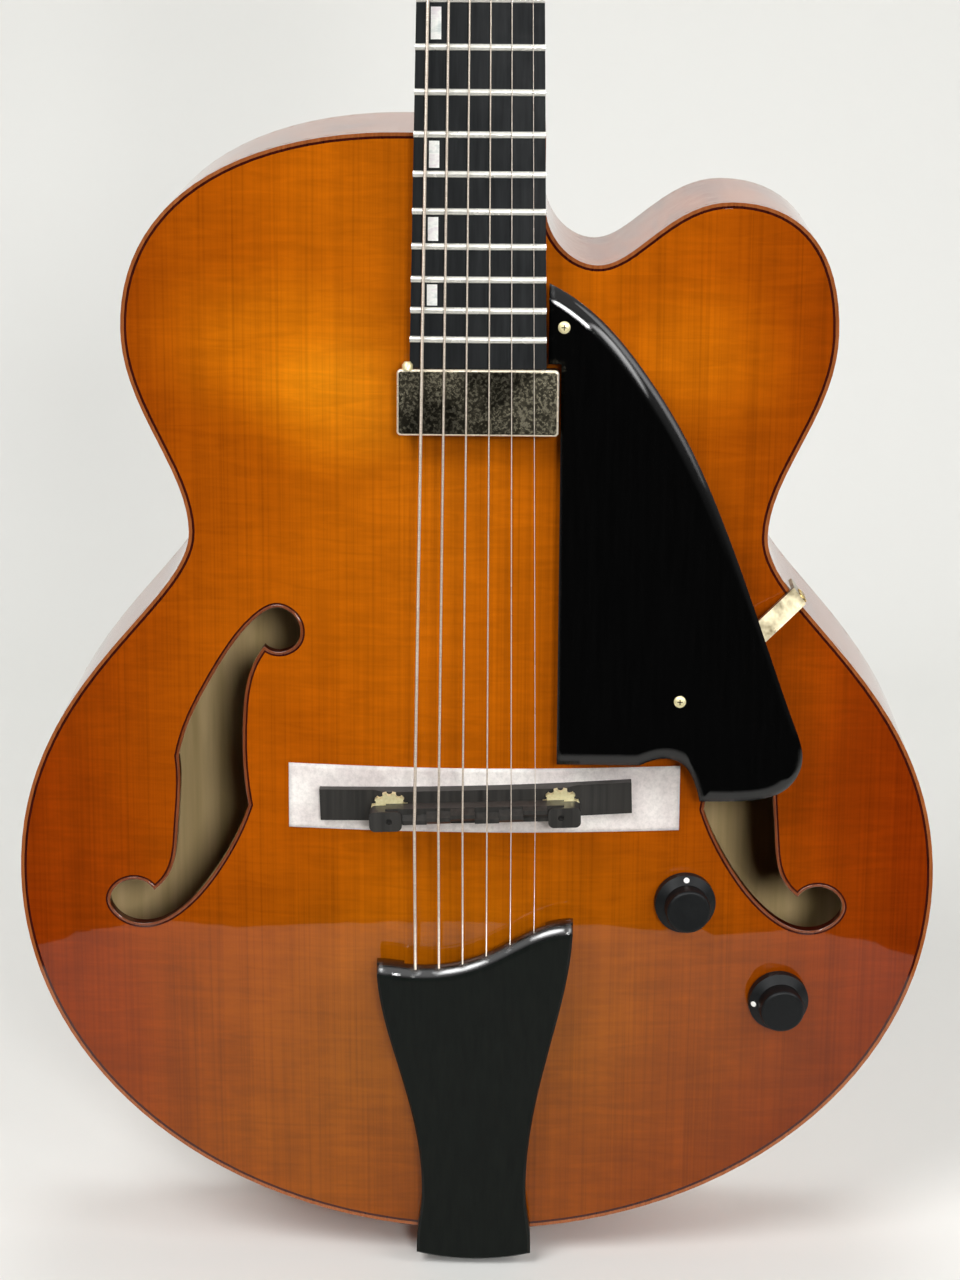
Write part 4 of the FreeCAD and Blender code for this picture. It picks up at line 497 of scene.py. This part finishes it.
def screw(name, place, way, radius, body, slot="gold", material=GOLD):
    """A screw with a rounded head, seated on a surface, with a dark cross of painted shade standing for its
    cross slot.
    """
    height = radius * SCREW_HEIGHT_SHARE
    head = turned([(radius * across, height * up) for across, up in SCREW_PROFILE_SHARES])
    seat = upright(place, way)
    bmesh.ops.transform(head, matrix=seat, verts=head.verts)
    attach(piece(name, head, material, slot), body)
    # The slot is a dark cross laid just over the head: painted shade in place of a groove.
    length = radius * SLOT_LENGTH_SHARE
    width = radius * SLOT_WIDTH_SHARE
    cross = bmesh.new()
    for size in ((length, width), (width, length)):
        bar = bmesh.ops.create_cube(cross, size=1)["verts"]
        bmesh.ops.scale(cross, vec=(*size, height), verts=bar)
    bmesh.ops.translate(cross, vec=(0, 0, height * SLOT_LIFT_SHARE), verts=cross.verts)
    bmesh.ops.transform(cross, matrix=seat, verts=cross.verts)
    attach(piece(name + "_slot", cross, PAINTED_SLOT_SHADE, slot), body)


# Strings, which follow the saddle where they cross it

PLAIN = (1, 2)
WOUND = (3, 4, 5, 6)
NUT_LINE = 0.8615
saddle_low, saddle_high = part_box("bridge_saddle")


def string_span(numbers, low, high):
    """The part of some strings between two heights, closed at its cut ends."""
    shape = copied(*[f"string_{number}" for number in numbers])
    for height, side in ((low, -1), (high, 1)):
        everything = list(shape.verts) + list(shape.edges) + list(shape.faces)
        bmesh.ops.bisect_plane(shape, geom=everything, plane_co=(0, 0, height), plane_no=(0, 0, side),
                               clear_outer=True)
    bmesh.ops.holes_fill(shape, edges=[edge for edge in shape.edges if edge.is_boundary])
    return shape


def make_strings():
    """Both kinds of string in three spans: tail to saddle, saddle to nut, and the head."""
    crest = (saddle_low.z + saddle_high.z) / 2
    foot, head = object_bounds()[0].z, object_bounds()[1].z
    for label, numbers, material in (("plain", PLAIN, PLAIN_STRING), ("wound", WOUND, WOUND_STRING)):
        slot = label + "_string"
        names = [f"string_{number}" for number in numbers]
        tail = piece(f"{label}_strings_tail", string_span(numbers, foot, crest), material, slot)
        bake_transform(tail)
        played = piece(f"{label}_strings_played", string_span(numbers, crest, NUT_LINE), material, slot)
        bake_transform(played)
        wound_end = piece(f"{label}_strings_head", string_span(numbers, NUT_LINE, head), material, slot)
        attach(wound_end, "instrument")
        for span in (tail, played, wound_end):
            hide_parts(*names)


# Bridge sheet

SHEET_LENGTH = 0.171
SHEET_WIDTH = 0.029
SHEET_THICKNESS = 0.0006
SHEET_LIFT = 0.0002
SHEET_CELLS = (72, 14)


def make_sheet():
    """The soft white sheet laid on the arch under the bridge."""
    low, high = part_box("protector_sheet")
    centre = (low + high) / 2
    shape = bmesh.new()
    bmesh.ops.create_grid(shape, x_segments=SHEET_CELLS[0], y_segments=SHEET_CELLS[1], size=0.5)
    bmesh.ops.scale(shape, vec=(SHEET_LENGTH, SHEET_WIDTH, 1), verts=shape.verts)
    bmesh.ops.rotate(shape, cent=(0, 0, 0), matrix=Matrix.Rotation(math.pi / 2, 3, "X"), verts=shape.verts)
    bmesh.ops.translate(shape, vec=(centre.x, 0, centre.z), verts=shape.verts)
    arch = surface("top_plate")
    for vert in shape.verts:
        start = Vector((vert.co.x, CAST_FROM, vert.co.z))
        vert.co.y = arch.ray_cast(start, -FRONT)[0].y - SHEET_LIFT
    if sum((face.normal for face in shape.faces), Vector()).y > 0:
        bmesh.ops.reverse_faces(shape, faces=shape.faces)
    laid = piece("bridge_sheet", shape, SHEET_WHITE, "white_sheet")
    solid = laid.modifiers.new("thickness", "SOLIDIFY")
    solid.thickness = SHEET_THICKNESS
    solid.offset = 1
    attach(laid, "instrument")
    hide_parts("protector_sheet")


# Screws and the dots of the knobs

GUARD_SCREWS = {"upper": (0.0359, 0.4213), "lower": (0.0874, 0.2619)}
GUARD_SCREW_RADIUS = 0.0026


def make_guard_screws():
    """The two screws on the guard's front."""
    for label, (x, z) in GUARD_SCREWS.items():
        place, way = landing("pickguard", (x, CAST_FROM, z), -FRONT)
        screw(f"guard_screw_{label}", place, way, GUARD_SCREW_RADIUS, "instrument", material=PALE_GOLD)


PICKUP_SCREW_INSET = 0.0045
PICKUP_SCREW_DEPTH = 0.0035
PICKUP_SCREW_HEAD = [(0, 0.0032), (0.0013, 0.003), (0.0023, 0.0018), (0.0023, -0.0005)]


def make_pickup_screw():
    """The round head of the pickup's fixing screw, on the cover's upper side."""
    low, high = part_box("pickup_cover")
    start = (low.x + PICKUP_SCREW_INSET, low.y + PICKUP_SCREW_DEPTH, high.z + CAST_REACH)
    place, way = landing("pickup_cover", start, -UP)
    head = turned(PICKUP_SCREW_HEAD)
    bmesh.ops.transform(head, matrix=upright(place, way), verts=head.verts)
    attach(piece("pickup_screw", head, PALE_GOLD, "gold"), "instrument")


DOT_REACH = 0.0116
DOT_PROFILE = [(0, 0.0003), (0.0009, 0.00024), (0.0013, 0), (0.0013, -0.0004)]
DOT_STEPS = 20


def make_knob_dots():
    """A white dot on the skirt of each knob: at the top of one, at the bass side of the other."""
    for label, way in (("volume", UP), ("tone", Vector((-1, 0, 0)))):
        joint = next(item for item in frame["joints"] if item["name"] == label + "_turn")
        axis = Vector(joint["axis"])
        root = Vector(joint["pos_m"])
        across = (way - axis * way.dot(axis)).normalized()
        place, out = landing(label + "_knob", root + across * DOT_REACH + axis * CAST_REACH, -axis)
        dot = turned(DOT_PROFILE, DOT_STEPS)
        bmesh.ops.transform(dot, matrix=upright(place, out), verts=dot.verts)
        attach(piece(label + "_dot", dot, WHITE_DOT, "knob_black"), label + "_control")


COVER_SCREW_SHARES = {"lower": 0.16, "upper": 0.84}
COVER_SCREW_RADIUS = 0.0015


def make_cover_screws():
    """Two screws of the truss rod cover, one above the other."""
    low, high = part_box("truss_rod_cover")
    for label, share in COVER_SCREW_SHARES.items():
        height = low.z + (high.z - low.z) * share
        place, way = landing("truss_rod_cover", (0, CAST_FROM, height), -FRONT)
        screw(f"cover_screw_{label}", place, way, COVER_SCREW_RADIUS, "instrument")


STRAP_OUT = Vector((0.8057, 0, 0.5924))
STRAP_SCREW_INSETS = {"front": 0.011, "back": 0.005}
STRAP_SCREW_SHIFT = 0.004
STRAP_SCREW_RADIUS = 0.0026


def make_strap_screws():
    """The two screws of the guard's strap on the rim, set in from the strap's back end."""
    low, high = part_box("pickguard_bracket")
    along = Vector((STRAP_OUT.z, 0, -STRAP_OUT.x))
    for label, inset in STRAP_SCREW_INSETS.items():
        corner = Vector((high.x, high.y - inset, high.z))
        start = corner + STRAP_OUT * CAST_REACH + along * STRAP_SCREW_SHIFT
        place, out = landing("pickguard_bracket", start, -STRAP_OUT)
        screw(f"strap_screw_{label}", place, out, STRAP_SCREW_RADIUS, "instrument")


make_strings()
make_sheet()
make_guard_screws()
make_pickup_screw()
make_knob_dots()
make_cover_screws()
make_strap_screws()


# Floor, light and camera

FLOOR_GAP = 0.0011
FLOOR = cad_box[0].z - FLOOR_GAP
FLOOR_FRONT = -0.4
FLOOR_BACK = 0.9
FLOOR_WIDTH = 8
FLOOR_COLOUR = (0.84, 0.84, 0.81, 1)
BACKDROP_BEND = 0.5
BACKDROP_HEIGHT = 2.4


def floor_finish():
    """Pale from the front and above, clear from behind and below."""
    material = bpy.data.materials.new("pale_floor")
    material.use_nodes = True
    tree = material.node_tree
    tree.nodes.clear()
    output = tree.nodes.new("ShaderNodeOutputMaterial")
    pale = tree.nodes.new("ShaderNodeBsdfDiffuse")
    pale.inputs["Color"].default_value = FLOOR_COLOUR
    clear = tree.nodes.new("ShaderNodeBsdfTransparent")
    side = tree.nodes.new("ShaderNodeNewGeometry")
    choice = tree.nodes.new("ShaderNodeMixShader")
    tree.links.new(side.outputs["Backfacing"], choice.inputs["Fac"])
    tree.links.new(pale.outputs[0], choice.inputs[1])
    tree.links.new(clear.outputs[0], choice.inputs[2])
    tree.links.new(choice.outputs[0], output.inputs["Surface"])
    return material


def make_floor():
    """A pale floor that bends up into a backdrop."""
    shape = bmesh.new()
    bmesh.ops.create_grid(shape, x_segments=1, y_segments=1, size=0.5)
    bmesh.ops.scale(shape, vec=(FLOOR_WIDTH, FLOOR_BACK - FLOOR_FRONT, 1), verts=shape.verts)
    bmesh.ops.translate(shape, vec=(0, (FLOOR_BACK + FLOOR_FRONT) / 2, FLOOR), verts=shape.verts)
    back = [edge for edge in shape.edges if all(vert.co.y > FLOOR_BACK / 2 for vert in edge.verts)]
    bend = bmesh.ops.spin(shape, geom=back + list({vert for edge in back for vert in edge.verts}),
                          cent=(0, FLOOR_BACK, FLOOR + BACKDROP_BEND), axis=(1, 0, 0), angle=math.pi / 2,
                          steps=16)
    raised = bmesh.ops.extrude_edge_only(shape, edges=[part for part in bend["geom_last"]
                                                       if isinstance(part, bmesh.types.BMEdge)])
    bmesh.ops.translate(shape, vec=(0, 0, BACKDROP_HEIGHT), verts=[part for part in raised["geom"]
                                                                   if isinstance(part, bmesh.types.BMVert)])
    bmesh.ops.recalc_face_normals(shape, faces=shape.faces)
    if min(shape.faces, key=lambda face: face.calc_center_median().z).normal.z < 0:
        bmesh.ops.reverse_faces(shape, faces=shape.faces)
    for face in shape.faces:
        face.smooth = True
    mesh = bpy.data.meshes.new("floor")
    shape.to_mesh(mesh)
    shape.free()
    mesh.materials.append(floor_finish())
    floor = bpy.data.objects.new("floor", mesh)
    scene.collection.objects.link(floor)


def make_light(name, place, aim, size, power):
    """A round soft lamp."""
    lamp = bpy.data.lights.new(name, "AREA")
    lamp.shape = "DISK"
    lamp.size = size
    lamp.energy = power
    light = bpy.data.objects.new(name, lamp)
    light.location = place
    light.rotation_euler = (Vector(aim) - Vector(place)).to_track_quat("-Z", "Y").to_euler()
    scene.collection.objects.link(light)


ROOM_DIM = 0.035
ROOM_PALE = 0.8
HORIZON = 0.08
FULL_SKY = 0.4


def make_world():
    """A dim room that looks pale to the eye, and in reflections from above the horizon."""
    world = bpy.data.worlds.new("room")
    world.use_nodes = True
    tree = world.node_tree
    background = tree.nodes["Background"]
    path = tree.nodes.new("ShaderNodeLightPath")
    toward = tree.nodes.new("ShaderNodeTexCoord")
    height = tree.nodes.new("ShaderNodeSeparateXYZ")
    tree.links.new(toward.outputs["Generated"], height.inputs["Vector"])
    sky = ramp(tree, height.outputs["Z"], [(HORIZON, 0.0), (FULL_SKY, 1.0)])
    mirrored = sums(tree, "MAXIMUM", path.outputs["Is Glossy Ray"], path.outputs["Is Transmission Ray"])
    seen = sums(tree, "MAXIMUM", path.outputs["Is Camera Ray"], sums(tree, "MULTIPLY", mirrored, sky))
    tree.links.new(ramp(tree, seen, [(0.0, ROOM_DIM), (1.0, ROOM_PALE)]), background.inputs["Color"])
    scene.world = world


SENSOR = 36
LENS = 85.98
CAMERA_PLACE = (0.02039, -1.32748, 0.63394)
CAMERA_ACROSS = (0.99985, 0.01656, 0.0059)
CAMERA_AHEAD = (-0.01441, 0.96413, -0.26504)


def make_camera():
    """The eye at the photograph's viewing angle."""
    lens = bpy.data.cameras.new("camera")
    lens.sensor_width = SENSOR
    lens.lens = LENS
    camera = bpy.data.objects.new("camera", lens)
    across = Vector(CAMERA_ACROSS).normalized()
    ahead = Vector(CAMERA_AHEAD).normalized()
    up = across.cross(ahead).normalized()
    turn = Matrix((across, up, -ahead)).transposed().to_4x4()
    camera.matrix_world = Matrix.Translation(CAMERA_PLACE) @ turn
    scene.collection.objects.link(camera)
    scene.camera = camera


# Each lamp's place, what it is aimed at, its size and its power

LAMPS = {
    "key": ((-1.0, -1.7, 2.1), (0, 0, 0.3), 1.4, 44),
    "front": ((0.34, -2.05, 0.9), (-0.1, 0, 0.2), 0.35, 19),
    "glint": ((0.95, -1.85, 1.04), (0.06, -0.07, 0.42), 0.4, 4),
    "fill": ((1.7, -1.3, 1.5), (0, 0, 0.35), 1.4, 22),
    "top": ((0.1, 0.5, 2.4), (0, 0.1, 0.3), 1.2, 16),
    "back": ((0.6, 2.6, 1.6), (0, 0, 0.4), 1.4, 25),
}

scene.view_settings.view_transform = "Standard"
make_floor()
make_world()
make_camera()
for name, lamp in LAMPS.items():
    make_light(name, *lamp)
